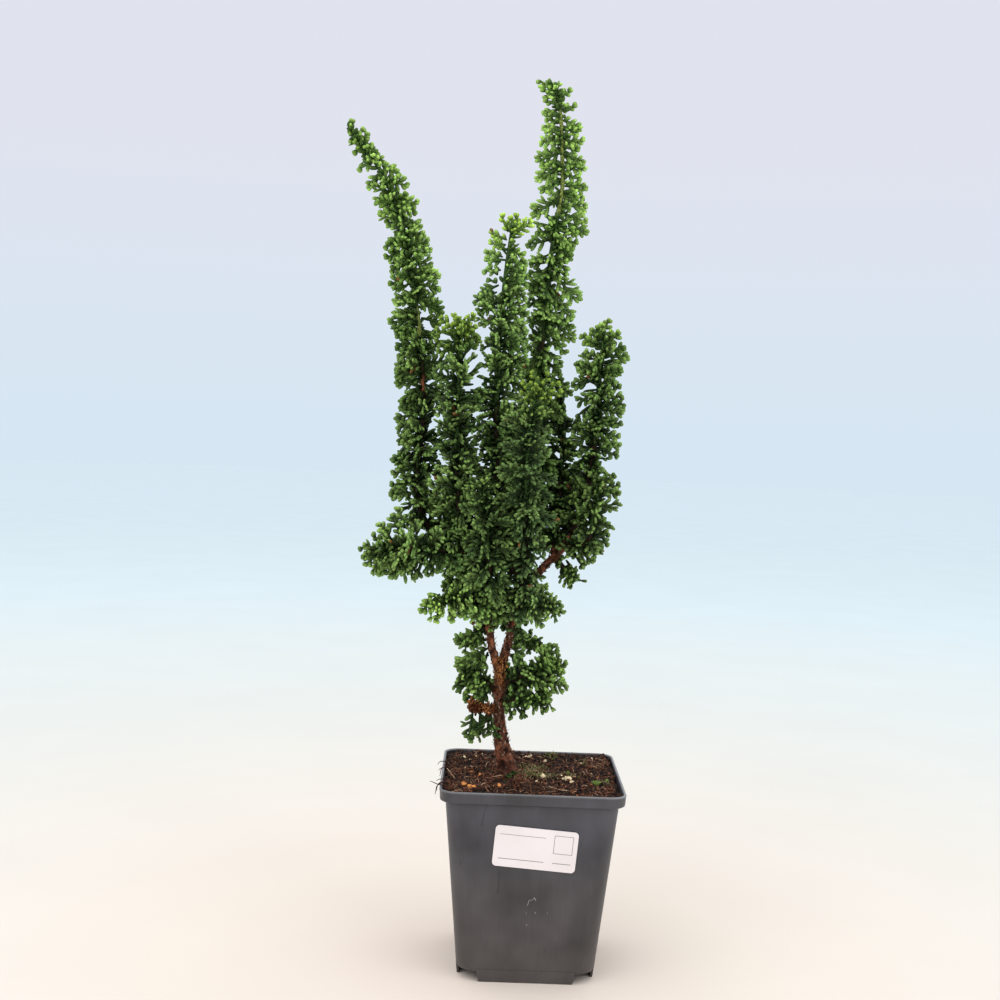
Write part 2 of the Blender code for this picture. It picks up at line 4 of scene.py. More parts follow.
import bmesh
import bpy
import numpy as np
from mathutils import Euler, Matrix, Quaternion, Vector, noise


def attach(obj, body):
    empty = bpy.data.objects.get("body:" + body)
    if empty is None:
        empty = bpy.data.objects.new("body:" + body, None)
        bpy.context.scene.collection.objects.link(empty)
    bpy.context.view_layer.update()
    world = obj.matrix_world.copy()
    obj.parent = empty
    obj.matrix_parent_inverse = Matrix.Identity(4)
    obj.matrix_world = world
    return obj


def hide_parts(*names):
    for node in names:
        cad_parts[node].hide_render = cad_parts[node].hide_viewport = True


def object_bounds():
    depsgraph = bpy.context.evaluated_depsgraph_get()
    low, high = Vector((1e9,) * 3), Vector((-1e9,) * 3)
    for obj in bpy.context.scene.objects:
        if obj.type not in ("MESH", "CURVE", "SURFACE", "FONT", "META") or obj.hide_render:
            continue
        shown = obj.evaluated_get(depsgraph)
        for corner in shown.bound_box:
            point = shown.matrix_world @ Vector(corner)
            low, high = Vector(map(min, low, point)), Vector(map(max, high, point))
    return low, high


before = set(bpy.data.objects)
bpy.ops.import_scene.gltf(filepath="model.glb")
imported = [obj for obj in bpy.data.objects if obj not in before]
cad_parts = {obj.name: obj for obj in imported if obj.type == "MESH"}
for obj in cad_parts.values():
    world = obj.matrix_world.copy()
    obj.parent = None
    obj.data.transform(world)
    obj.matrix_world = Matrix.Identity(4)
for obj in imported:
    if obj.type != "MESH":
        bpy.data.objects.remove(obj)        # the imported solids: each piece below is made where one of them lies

cad_box = [list(corner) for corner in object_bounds()]

# The looks of a potted hinoki cypress bonsai. Lengths are millimetres until a mesh is made of them.
# Places are measured from the middle of the pot's foot, which the solids have at POT_OFFSET.
MM = 0.001
POT_OFFSET = Vector((29.4, 0, 0))
UP, DOWN = Vector((0, 0, 1)), Vector((0, 0, -1))

# The camera, fitted to the corners of the pot's rim and foot
CAMERA_PLACE = (-27.6, -688.5, 269.6)
CAMERA_TURN = (86.968, -2.207, -0.443)
CAMERA_LENS = 49.46
CAMERA_SENSOR = 36
CAMERA_NEAR = 10
CAMERA_AXES = np.array(Euler([math.radians(turn) for turn in CAMERA_TURN]).to_matrix())
# The photo's size in pixels; places in it are measured across from its left and down from its top
PHOTO = 1000
FOCAL_LENGTH = PHOTO * CAMERA_LENS / CAMERA_SENSOR

# The pot
POT_HEIGHT = 96
RIM_WIDTH = 90
RIM_BAND = 6
BODY_TOP_WIDTH = 84
FOOT_WIDTH = 67
WALL = 1.2
RIM_CORNER = 8
FOOT_CORNER = 10
CORNER_STEPS = 14
# The rolled lip's radius, and the slope of the ledge where the inside narrows under the band
LIP = 0.6
LIP_STEPS = 6
LEDGE_RISE = 0.3
# How the wall is rounded at its foot: how far inside the wall and how high above its foot
FOOT_ROUNDING = ((1.6, 0), (0.5, 0.25), (0, 1.2))
# Heights where the wall is straight, above its foot and under the band
WALL_START, WALL_ENDS = 1.8, (0.9, 0.3)
# The step under the band and the band's outside: how far inside the rim and how high above the band's foot
STEP_OUT = 0.25
BAND_PROFILE = ((1.1, 0.05), (0.5, 0.5), (0.35, 1.4), (0.15, 4.7))
SKIRT_HEIGHT = 5
SKIRT_LENGTH = 48
SKIRT_SLANT = 1.3
# A skirt from its foot up: the height, how much it is cut back at each end and how far it stands off the wall
SKIRT_PROFILE = ((0, SKIRT_SLANT, -0.25), (0.35, SKIRT_SLANT - 0.25, 0.03), (SKIRT_HEIGHT + 1.4, -0.3, 0.03))
DRAIN_RADIUS = 4.5
DRAIN_OFFSET = 20
DRAIN_SIDES = 32

# The label
LABEL_SIZE = (40, 20.5, 0.4)
LABEL_CENTRE = (2.1, 68.7)
LABEL_CORNER = 2
LABEL_CORNER_STEPS = 10
LABEL_TILT = math.radians(-4)
# Its ruled lines and its ruled square: middle across and up, half length and half thickness
LABEL_RULES = ((-6.5, 6.0, 11.0, 0.12), (-6.5, -6.2, 11.0, 0.16), (13.2, -6.2, 4.4, 0.16))
LABEL_SQUARE = (13.2, 3.2)
LABEL_SQUARE_HALF, LABEL_SQUARE_INSIDE = 4.6, 4.35

# The root ball's surface, as in the solids
GAP = 0.3
SOIL_LEVEL = 92.6
SOIL_MOUND = 1.6
SOIL_MOUND_SPREAD = 16
SOIL_BANK = 2.2
SOIL_BANK_FROM = 8
SOIL_BANK_RUN = 34
TRUNK_FOOT = (-9.5, 4.5)
# The sizes of the clods, crumbs and grains and how far each one rises
SOIL_GRAINS = ((7, 1.1), (2.6, 1.8), (1.1, 1.3))
SOIL_CELLS = 120
# Peat is lighter the higher it stands, with painted shade in its hollows: from what height on, over what height
# and how suddenly
PEAT_LIT_FROM, PEAT_LIT_RUN, PEAT_LIT_CURVE = -0.6, 2.6, 1.4
# The size of the peat's dark and light spots, their middle tone, how far they part and the darkest tone
SPOT_SIZE, SPOT_TONE, SPOT_CONTRAST, SPOT_LEAST = 1.4, 0.72, 2.1, 0.05

# A crumb is an octahedron cut once more: these are its corners
CRUMB_POINTS = [
    Vector(p).normalized() for p in (
        (1, 0, 0), (-1, 0, 0), (0, 1, 0), (0, -1, 0), (0, 0, 1), (0, 0, -1),
        (1, 1, 0), (1, -1, 0), (-1, 1, 0), (-1, -1, 0), (1, 0, 1), (1, 0, -1),
        (-1, 0, 1), (-1, 0, -1), (0, 1, 1), (0, 1, -1), (0, -1, 1), (0, -1, -1),
    )
]

# Woody limbs, base to end: x, y, z and radius
WOOD = {
    "trunk": [
        (-9.6, 4.5, 67, 4.4), (-9.6, 4.5, 84, 4.8), (-10.2, 4.5, 92, 4.8), (-12, 4.3, 97, 4.6),
        (-14, 3.9, 103.5, 4.3), (-15.6, 3.2, 111, 3.7), (-16.8, 2.2, 119, 3.2), (-17.5, 1.4, 128, 2.8),
        (-17.6, 0.8, 137, 2.7), (-17.8, 0.4, 144, 2.6), (-18, 0.3, 150, 2.4),
    ],
    "limb_left": [
        (-17.9, 0.5, 146, 2.2), (-20, 0.2, 152, 2.1), (-22.2, 0, 159, 2.0), (-23.6, 0, 168, 1.9),
        (-26.5, 0, 182, 1.9), (-31, 0.5, 191, 1.9), (-38, 2, 201, 1.8),
    ],
    "limb_right": [
        (-17.8, 0.5, 146, 2.3), (-16, 1.4, 153.5, 2.3), (-13.4, 3, 163, 2.1), (-11.4, 4, 173, 2.1),
        (-9.8, 4, 184, 2.0), (-10, 6.5, 194, 1.9), (-11, 8, 201, 1.8),
    ],
    "limb_east": [
        (-10.1, 4, 181, 1.7), (-5.1, 2.5, 190.5, 1.8), (3, 0.5, 201, 1.9), (11, 0, 209.5, 1.8),
        (15.3, 0, 216, 1.7),
    ],
    "stub": [(-17, 1.2, 126, 2.2), (-21, -0.5, 127, 2.1), (-23.9, -1, 127.3, 1.8)],
}

# Leafy stems, base to tip: x, y, z and the reach of the hands round the stem
LEAFY = {
    "leader_left": [
        (-38.3, 2.2, 201.9, 5), (-48, 3, 209, 11), (-57, 3.5, 219, 15), (-62.2, 4, 232, 15),
        (-62.6, 4.5, 246, 14.5), (-61.8, 5, 262, 14), (-61.2, 5, 282, 13.5), (-62.9, 5, 303, 14.3),
        (-65.7, 5, 324, 13.8), (-69.6, 4.5, 346, 12.5), (-73.4, 4, 363, 11), (-78.2, 3, 378, 10),
        (-86, 2, 393.8, 9), (-95.4, 0, 405.3, 7.5), (-101.8, -2, 412.9, 5.5), (-103.8, -2, 415, 4),
    ],
    "leader_left_short": [
        (-34.4, -1.6, 195, 5), (-36, -6, 201, 9), (-40, -10.5, 222, 13), (-42, -11.5, 243, 14),
        (-43.4, -12, 263, 13.5), (-43.6, -12, 283, 13), (-43.2, -12, 302, 12), (-43.1, -12, 313, 10.3),
        (-43, -12, 320, 6.5),
    ],
    "leader_centre": [
        (-12.5, 6.2, 196, 5), (-16.5, 4, 203, 9), (-20.5, -1, 222, 13), (-23, -4, 248, 13.5),
        (-24.4, -5, 273, 13.5), (-24.3, -5, 298, 13.3), (-24, -5, 322.6, 13), (-22.3, -5, 347, 11.8),
        (-20.8, -5, 361, 10), (-19.8, -5, 369, 6),
    ],
    "leader_tall": [
        (-11.2, 8.4, 202, 5), (-8.5, 11, 214, 11), (-5, 12, 234, 14.5), (-4, 12, 259, 14.5),
        (-3.4, 11, 284, 14), (-2.6, 10, 309, 13.7), (-1.6, 9, 330, 13.6), (-0.6, 7, 349.5, 13.2),
        (1.4, 5, 369, 13), (4.2, 4, 389, 12.3), (3.3, 3, 408.4, 11.8), (2, 2, 423.8, 9.6),
        (-0.8, 1, 435, 6.4), (-4.3, 0, 441, 4),
    ],
    "leader_front": [
        (-10, 1.2, 181, 5), (-9, -7, 187, 9), (-8, -20, 207, 13), (-8.4, -27, 230, 13.5),
        (-8.8, -29, 250, 13), (-8.6, -30, 269, 11.5), (-6.8, -30, 282, 8), (-5.4, -30, 288, 5),
    ],
    "leader_right": [
        (15.7, 0, 216.8, 5), (18.4, 0, 225.6, 10.5), (22.3, 0, 240, 12), (24.6, 0, 257.5, 12),
        (26.6, 0, 275, 12.2), (26.2, 0, 292.6, 12.4), (27.6, 0, 307, 12.6), (27.2, 0, 314.5, 10.3),
        (26.6, 0, 319.5, 6.3),
    ],
    "right_inner": [
        (7.2, 2.4, 208, 5), (8, 8, 214, 9), (8.8, 12.5, 226, 12), (9.5, 14, 240, 11.5),
        (10.2, 14.5, 258, 10.5), (9.4, 14, 275, 9), (8.8, 13.5, 286, 5),
    ],
    "right_outer": [
        (13, -2, 212, 4), (18, -7, 211, 10.5), (23.3, -12, 216, 11.5), (25.4, -14, 228, 10.3),
        (26.6, -14, 238, 8.5), (27, -14, 246, 5),
    ],
    "left_spread": [
        (-33, -1.5, 191.2, 4), (-38, -6, 199, 9), (-47, -10, 207, 13), (-58, -12, 209, 16.5),
        (-68.5, -14, 208, 16.5), (-77, -14, 206, 12), (-83.5, -13, 205.7, 5),
    ],
    "middle_front": [
        (-27.8, -2.4, 182.3, 4), (-26.5, -9, 187, 9), (-25, -20, 199, 14), (-26.5, -26, 217, 13),
        (-28.5, -27, 234, 10), (-28.8, -27, 243, 5),
    ],
    "front_low_left": [
        (-24.6, -2.3, 172.5, 4), (-27, -10, 179, 10), (-34, -18, 185, 12.5), (-42, -23, 186, 11),
        (-48, -26, 184, 7), (-52, -28, 181.5, 3.5),
    ],
    "front_low_right": [
        (-10.6, 1.6, 174.5, 4), (-11, -7, 180, 8), (-7, -16, 183, 10.5), (-0.5, -21, 184, 9.5),
        (4, -23, 183.5, 7.5), (8, -24, 182, 4),
    ],
    "low_left": [
        (-20.3, -0.4, 137, 4), (-24, -4, 142, 11.5), (-28.5, -5, 145, 13), (-33.5, -6, 146.5, 10.5),
        (-36.5, -6, 148, 4.5),
    ],
    "low_left_droop": [
        (-21.6, -1.9, 124.2, 3), (-24.8, -5, 121.6, 4.5), (-27.2, -6.5, 119.2, 4.5), (-28.6, -7, 117.2, 3),
    ],
    "low_right": [
        (-15.1, -2, 140.5, 4), (-9, -6, 144.5, 13), (-0.7, -8, 148, 14), (6.6, -7, 150.5, 12),
        (11.8, -6, 152, 5),
    ],
    "low_right_under": [
        (-14.8, -1.4, 131.5, 4), (-8.8, -8, 134, 8.5), (-2.2, -10, 135, 8.5), (2.5, -10, 135, 6.5),
        (6.5, -10, 135, 4),
    ],
    "under_left": [
        (-26.2, 1.2, 169.5, 3.5), (-28.8, 2.5, 165, 6), (-33, 3, 161.5, 5), (-37, 3, 160, 3.5),
    ],
    "under_right": [(-10.6, 3.8, 165, 3.5), (-6, 5, 162.5, 8), (-1.2, 5, 161, 6.5), (3, 5, 158.5, 3.5)],
    "right_low": [
        (7.7, -1.8, 205.3, 3.5), (11.4, -3, 201.4, 6), (15.5, -4, 197.5, 5.5), (17.7, -4, 195, 3.5),
    ],
    "back_left": [
        (-33.5, 2.6, 196, 4), (-36, 10, 202, 10), (-40, 20, 217, 14), (-42, 26, 240, 13),
        (-43, 27, 262, 10), (-43, 27, 272, 5),
    ],
    "back_centre": [
        (-11, 10.3, 197, 4), (-12.5, 17, 203, 10), (-15, 26, 219, 14), (-17, 31, 243, 13),
        (-17, 32, 266, 10), (-17, 32, 277, 5),
    ],
    "back_right": [
        (10.6, 1.9, 209.5, 4), (12, 9, 215, 8), (14, 18, 222, 13), (16, 24, 232, 12.5),
        (17, 25, 243, 9), (17, 25, 249, 5),
    ],
    "back_low": [
        (-11.4, 6.5, 170, 4), (-12, 15, 174, 12), (-15, 25, 179, 13), (-19, 32, 184, 9),
        (-20, 35, 187, 5),
    ],
    "back_low_left": [
        (-25.5, 2.3, 176, 4), (-30, 10, 179, 8), (-37, 18, 183, 12), (-44, 22, 186, 9),
        (-48, 23, 187, 5),
    ],
    "back_low_right": [
        (-7.4, 5.8, 188, 4), (-5.5, 13, 184, 8), (-2, 20, 181, 9.5), (2, 25, 180.5, 8), (4, 28, 180.5, 5),
    ],
    "low_back": [(-17, 3.9, 131, 4), (-15, 10, 134, 8), (-13, 18, 139, 10), (-11, 23, 143, 5)],
}
# Sprays that show against the light, read in the photo: the root's pixel and the tip's pixel
PLACED = {
    "leader_front": (
        (538, 388, 523, 383), (540, 386, 532, 373), (543, 388, 548, 375), (546, 391, 558, 383),
        (546, 396, 561, 392), (536, 396, 522, 394),
    ),
    "leader_left_short": (
        (462, 453, 479, 460), (462, 460, 478, 468), (455, 330, 440, 318), (454, 336, 436, 330),
        (454, 342, 436, 341), (455, 350, 438, 352), (460, 330, 472, 330), (462, 336, 478, 341),
        (462, 345, 474, 348),
    ),
    "leader_tall": (
        (555, 92, 538, 79), (556, 92, 560, 80), (557, 99, 571, 90), (553, 98, 544, 89),
        (556, 104, 546, 101), (561, 110, 575, 106), (562, 120, 579, 127), (561, 116, 546, 115),
        (562, 132, 543, 125), (563, 142, 584, 140), (562, 140, 540, 143), (563, 152, 536, 161),
        (564, 156, 585, 162), (562, 165, 536, 180), (564, 162, 585, 171), (562, 178, 541, 193),
        (564, 186, 587, 188), (564, 196, 584, 198), (560, 200, 531, 213), (564, 205, 587, 207),
        (564, 215, 587, 222), (563, 220, 587, 234), (558, 225, 541, 234), (560, 240, 577, 243),
        (556, 240, 572, 260), (555, 255, 566, 273), (556, 275, 576, 303), (550, 240, 526, 244),
        (556, 300, 572, 320), (558, 312, 572, 328), (555, 322, 574, 342), (552, 338, 566, 353),
        (550, 352, 562, 366), (548, 362, 561, 375), (552, 378, 567, 385), (552, 385, 572, 395),
        (548, 262, 530, 264), (546, 270, 528, 275), (547, 280, 530, 288), (562, 126, 577, 131),
        (562, 146, 578, 150), (564, 174, 580, 180), (562, 128, 546, 132), (558, 250, 572, 250),
        (548, 320, 530, 325), (547, 332, 530, 338),
    ),
    "leader_right": (
        (600, 340, 601, 324.5), (597, 345, 581, 336), (598, 343, 591, 330), (603, 345, 620, 333),
        (604, 352, 625, 347), (604, 356, 629, 357), (599, 358, 586, 352), (597, 372, 577, 362),
        (597, 376, 578, 368), (603, 368, 621, 370), (594, 380, 572, 386), (602, 382, 620, 388),
        (602, 398, 623, 397), (600, 404, 625, 405), (601, 408, 623, 413), (594, 393, 575, 405),
        (591, 405, 577, 416.5), (603, 420, 621.5, 425), (600, 432, 619.5, 437), (600, 442, 620, 446),
        (600, 450, 618, 456), (598, 482, 615, 477), (600, 488, 619.5, 485), (600, 490, 619.5, 494),
        (595, 505, 611, 509), (592, 518, 608, 525), (592, 528, 608.5, 535), (590, 537, 608.5, 544.5),
        (592, 425, 572, 432), (592, 432, 570, 442),
    ),
    "right_outer": (
        (587, 541, 601.5, 550), (580, 550, 592.5, 562), (574, 552, 583, 568),
    ),
    "right_low": (
        (566, 560, 574.5, 572), (565, 566, 569, 584),
    ),
    "leader_left": (
        (349, 130, 342, 124), (351, 131, 351, 122), (353, 133, 346, 133), (357, 137, 362, 130),
        (361, 141, 352, 142), (366, 147, 355, 152), (372, 160, 359, 170), (380, 172, 367, 187),
        (382, 166, 400, 175), (387, 178, 408, 186.5), (392, 190, 374, 202), (396, 200, 418, 203),
        (398, 205, 416, 212.5), (399, 203, 384, 213), (402, 220, 388, 226.5), (403, 222, 421, 228),
        (405, 230, 425, 236), (406, 242, 431, 251), (406, 240, 384, 247.5), (407, 250, 385, 258.5),
        (409, 258, 432, 266), (409, 262, 390, 271), (412, 272, 439.5, 277.5), (412, 276, 389, 285),
        (415, 283, 440, 288), (417, 294, 394, 303), (420, 300, 444, 312), (408, 482, 391, 486),
        (408, 488, 390, 492.5), (410, 492, 392, 497.5), (418, 318, 389, 323.5), (419, 330, 396, 337),
        (419, 342, 396, 348), (420, 350, 397.5, 355.5), (421, 362, 395, 368), (422, 378, 395, 382.5),
        (424, 396, 400.5, 402.5), (425, 412, 394.5, 418.5), (426, 432, 397.5, 439), (416, 456, 391, 460),
        (414, 468, 392, 474), (422, 370, 398, 375), (425, 422, 397, 429), (356, 133, 366, 139),
        (360, 139, 371, 146), (365, 146, 378, 154), (371, 155, 384, 161), (378, 162, 391, 168),
        (421, 305, 440, 308), (421, 318, 443, 322), (422, 330, 438, 335),
    ),
    "leader_centre": (
        (508, 232, 501.5, 215), (510, 232, 517.5, 215), (513, 235, 532, 221), (507, 240, 490, 233),
        (506, 245, 490.5, 243), (503, 257, 485, 252.5), (501, 262, 486, 260), (501, 270, 483.5, 271),
        (499, 285, 480, 293), (497, 292, 473.5, 302.5), (506, 250, 524, 255), (504, 272, 524, 276),
        (503, 300, 526, 306), (503, 320, 526, 328), (503, 345, 526, 352), (503, 368, 524, 376),
        (505, 262, 527, 262), (504, 282, 528, 285), (503, 292, 527, 297), (503, 310, 528, 316),
        (503, 333, 528, 340), (503, 356, 528, 364), (503, 380, 526, 388), (497, 300, 478, 312),
        (497, 318, 480, 326), (505, 270, 526, 270), (504, 276, 528, 278), (503, 326, 527, 334),
        (502, 250, 497, 240), (500, 262, 494, 252), (498, 275, 490, 268), (497, 283, 490, 280),
        (498, 452, 482, 456), (496, 345, 480, 350), (496, 360, 482, 366), (496, 376, 484, 384),
    ),
    "left_spread": (
        (372, 548, 360.5, 549), (374, 551, 363.5, 557), (378, 551, 366, 565), (388, 552, 376.5, 574.5),
        (394, 553, 383, 574), (401, 552, 392, 578.5), (408, 552, 402, 572), (424, 555, 416, 578.5),
        (432, 557, 426, 575), (385, 545, 373.5, 535), (392, 540, 379, 523), (402, 535, 391, 514.5),
        (405, 528, 397.5, 507.5),
    ),
    "under_left": (
        (487, 640, 463, 642), (488, 640, 454.5, 637), (488, 648, 471, 658), (489, 655, 455, 666),
        (488, 652, 480, 672),
    ),
    "under_right": (
        (508, 645, 524, 655), (507, 652, 520, 664), (512, 640, 532, 648),
    ),
    "low_left": (
        (488, 684, 456, 686), (488, 692, 464.5, 701), (488, 678, 462, 676), (489, 690, 478, 704),
    ),
    "low_left_droop": (
        (473, 712, 468.5, 738), (480, 712, 480, 734), (489, 716, 487, 734), (491, 722, 497, 738),
    ),
    "low_right": (
        (540, 665, 545.5, 644.5), (544, 665, 554, 644), (545, 668, 567, 663.5), (545, 672, 564, 672.5),
        (545, 682, 568, 686.5), (535, 690, 551, 701.5), (530, 694, 547, 711.5),
    ),
    "low_right_under": (
        (512, 700, 523, 716), (508, 702, 511.5, 718),
    ),
    "front_low_right": (
        (542, 605, 564, 613.5), (545, 600, 562, 605), (530, 610, 543.5, 626), (515, 626, 507, 642),
        (520, 627, 522, 644), (518, 626, 514, 640),
    ),
    "front_low_left": (
        (440, 594, 420, 612.5), (442, 606, 435.5, 621.5), (452, 606, 450.5, 621),
    ),
}
# Beside its placed sprays, so near in height, a stem's other hands are this much shorter
PLACED_NEAR = 7
PLACED_SHARE = 0.82
# How far down from its tip a stem is open, with its hands mostly to the left and right
OPEN_TOP = {"leader_tall": 78, "leader_centre": 34, "leader_left": 45, "leader_right": 20}
# How many of its hands are left out there, how much shorter those to the front and back are, and how
# steeply each of the two fades at the lower end
OPEN_SKIP, OPEN_SKIP_RUN = 0.4, 3
OPEN_SHORTER, OPEN_SHORTER_RUN = 0.5, 2
# Places where the sky shows through, and places where a stem or the trunk lies bare before the leaves,
# read in the photo: ellipses as the middle's pixel, half width and half height, and how much
# wider they are kept
GAPS = (
    (427.8, 319.6, 2.2, 12), (429.4, 385, 2.2, 4), (434, 423, 1.8, 2.2), (443, 337, 2.6, 1.6),
    (453, 337, 2.2, 1.8), (468, 353, 2.8, 3.6), (472, 369, 2.6, 4), (471, 387, 4, 2.6), (487, 332, 3.5, 4),
    (487, 350, 3.5, 3.5), (508.3, 253.4, 2, 3.6), (499.6, 268, 1.6, 6), (545.8, 247.8, 3.6, 6),
    (543.4, 268.6, 0.7, 4), (550.6, 210, 2.6, 4.5), (534, 329, 1.6, 3.6), (495, 409, 2.2, 2.2),
    (495.6, 435, 1.8, 2.6), (571, 408, 4, 9), (589, 385, 2.6, 2.8), (583, 405, 1.5, 4),
    (574.4, 490, 1.8, 1.8), (562, 529, 2.6, 1.4), (557, 454.4, 2.2, 1.4), (567.6, 435, 2, 1.6),
    (542.3, 563.5, 2.6, 4), (552.6, 571, 2, 1.4), (566, 563, 3.6, 2.6), (577, 562.4, 1.7, 2.2),
    (421.3, 531, 2.2, 1.8), (404.5, 531, 2.6, 1), (392, 521, 1.2, 1.7), (419, 569, 3.4, 2.6),
    (498.2, 640, 4.4, 10.5), (479, 657, 2.6, 3), (477, 719.4, 2.2, 3.6), (486, 726, 1.4, 3.6),
    (518, 711.8, 2.2, 1.8), (467, 673, 1.4, 1.4), (539, 685.6, 1.3, 1.3),
)
GAP_MARGIN = 0.6
BARE = (
    (562, 122, 2, 14), (563, 152, 2, 14), (562, 185, 2.2, 16), (560.5, 206, 2.5, 10), (507, 240, 1.6, 7),
    (502, 262, 1.8, 12), (498.5, 285, 1.8, 8), (419.6, 318, 2.5, 20), (425, 384, 2.5, 7),
    (428, 425, 2.5, 8), (535.5, 343, 2.5, 9), (544, 571, 4, 4), (550, 563, 4, 4), (556, 556, 4, 4),
    (492, 652, 5, 12), (507, 660, 4, 9), (498, 672, 6.5, 10), (500, 688, 6.5, 9), (497, 706, 4, 8),
)
BARE_MARGIN = 1.2
# Twigs further back than this don't hide a bare stem
BARE_BACK = 3.5
DRY_TUFT = [(-24.6, -1.1, 127.3, 2.5), (-27, -1.5, 128.2, 6), (-30, -1.6, 129, 6), (-32.5, -1.6, 129.5, 3)]

# Colours are linear red, green and blue
# The darkest green is painted shade, for twigs deep inside the sprays
SHADE_GREEN = Vector((0.0025, 0.0085, 0.002))
LEAF_GREEN = Vector((0.055, 0.128, 0.020))
TIP_GREEN = Vector((0.295, 0.450, 0.115))
YOUNG_GREEN = Vector((0.310, 0.450, 0.050))
BLUE_GREEN = Vector((0.060, 0.125, 0.052))
STEM_GREEN = Vector((0.190, 0.235, 0.050))
STEM_BROWN = Vector((0.190, 0.062, 0.026))
STEM_DARK = Vector((0.030, 0.014, 0.007))
STEM_SHADED = Vector((0.035, 0.075, 0.014))
BARK_DARK = Vector((0.060, 0.020, 0.012))
BARK_RED = Vector((0.220, 0.074, 0.034))
BARK_TAN = Vector((0.560, 0.360, 0.250))
DRY_DARK = Vector((0.120, 0.034, 0.014))
DRY_LIGHT = Vector((0.600, 0.250, 0.080))
PEAT_DARK = Vector((0.007, 0.003, 0.002))
PEAT_BROWN = Vector((0.100, 0.038, 0.018))
FIBRE_RED = Vector((0.230, 0.090, 0.050))
FIBRE_TAN = Vector((0.480, 0.340, 0.220))
PUMICE_CREAM = Vector((0.640, 0.530, 0.330))
CHIP_ORANGE = Vector((0.650, 0.270, 0.080))
MOSS_GREEN = Vector((0.215, 0.230, 0.075))
WEED_GREEN = Vector((0.150, 0.230, 0.045))

# A twig's rings, each as shares of its length, of its half width and of its half thickness.
# The widths and thicknesses swell in turn, as its scale leaves do.
TWIG_SIDES = 4
TWIG_RINGS = np.array((
    (0.0, 0.60, 0.75), (0.34, 1.0, 0.95), (0.72, 1.0, 1.0), (0.93, 0.58, 0.55),
))
TWIG_WIDTH = 2.15
TWIG_THICKNESS = 0.68
# How many vectors a twig's row begins with
TWIG_VECTORS = 6
# Each vertex keeps how far it lies from its twig's tip, for the rows of scale leaves; plain ones keep this
NO_ROWS = -0.5
LEAF_ROW = 1.15
# By what share of its length a twig is out of its painted shade, how light it is there and on to its tip
TONE_DARK = 0.55
TONE_BODY = 0.12
TONE_CURVE = 1.7

# A hand: its sideways and hanging curl, its middle twig's length, width and tone, all as shares
HAND_CURL, HAND_SAG = 0.2, 0.22
MIDDLE_LENGTH, MIDDLE_WIDTH, MIDDLE_TONE = 0.9, 0.78, 0.35
# Its fingers: their distance, the share of the hand that bears them, where they start, over what share and
# how unevenly
FINGER_STEP, FINGER_SPAN = 1.72, 0.86
FINGER_FROM, FINGER_RUN, FINGER_SHIFT = 0.10, 0.74, 0.03
# Their angle to the hand, how much it falls to the tip, how far they leave the hand's plane
FINGER_ANGLE, FINGER_CLOSING, FINGER_TILT = (38, 58), 8, 0.35
# Their length as a share of the reach, with a hump near the hand's middle and shorter to the tip
FINGER_LENGTH, FINGER_HUMP, FINGER_HUMP_RUN, FINGER_FALL = 0.33, 0.18, 1.25, 0.10
FINGER_VARIES, FINGER_LEAST = (0.85, 1.2), 2.8
# The forks of fingers longer than this: their angle, place and length on the finger and their width
FORK_FROM, FORK_ANGLE, FORK_PLACE = 5.0, (36, 52), (0.34, 0.5)
FORK_LENGTH, FORK_LEAST, FORK_WIDTH = (0.48, 0.62), 2.6, 0.94
# The twig at a hand's end: where it starts and how long it is
END_FROM, END_LENGTH = 0.8, 0.26
TWIG_TONES, END_TONES, TWIG_WIDTHS = (0.7, 1.3), (0.9, 1.25), (0.9, 1.1)
# How many twigs are dead and brown, and how light those are
DEAD_SHARE, DEAD_TONE = 0.008, 0.4

# The hands round a stem: their distance, how unevenly they turn and rise, and how their reach varies
GOLDEN_ANGLE = math.radians(137.5)
HAND_STEP, HAND_TURN_SHIFT, HAND_RISE_SHIFT = 1.22, 0.35, 15
HAND_REACH, HAND_RISEN = (0.78, 1.18), 0.8
# How far a placed spray's flat side may turn to the front or back
PLACED_ROLL = 0.4
# The twigs inside, at each hand, dark with painted shade: how many, how long, how they lean, how light they
# are and how far off the stem's middle they start
INNER_TWIGS, INNER_LENGTH, INNER_SHARE = 3, (3.5, 8.0), 0.6
INNER_LEAN, INNER_TONE, INNER_OFF = (-0.3, 1.2), 0.15, 0.4
# The twigs round a stem's tip: how many, where they start, how they rise and open, their size and how
# unevenly they stand
TIP_TWIGS, TIP_BACK, TIP_RISE, TIP_OPEN = 5, 1.5, 1.2, 0.8
TIP_LENGTH, TIP_WIDTH, TIP_SHIFT = 3.6, 0.9, 0.3
# A stem's woody axis
AXIS_THICK, AXIS_THIN, AXIS_SIDES = 1.7, 0.95, 6
# Where along a leafy stem its brown bark gives way to green, as shares of its length
GREEN_FROM, GREEN_RUN = 0.45, 0.06
# How far up a leafy stem its bare foot reaches, as a share of its length
BARE_FOOT = 0.05
YOUNG_LENGTH = 20
# A spray's light colour: how far from leaf to tip green it is, and how its brightness varies
LIGHT_MIX, LIGHT_VARIES = (0.2, 0.8), (0.8, 1.35)
# A spray's dark colour, painted shade at its twigs' bases: how much leaf green it has, and how much more on a
# young stem
DARK_MIX, DARK_YOUNG = 0.02, 0.4

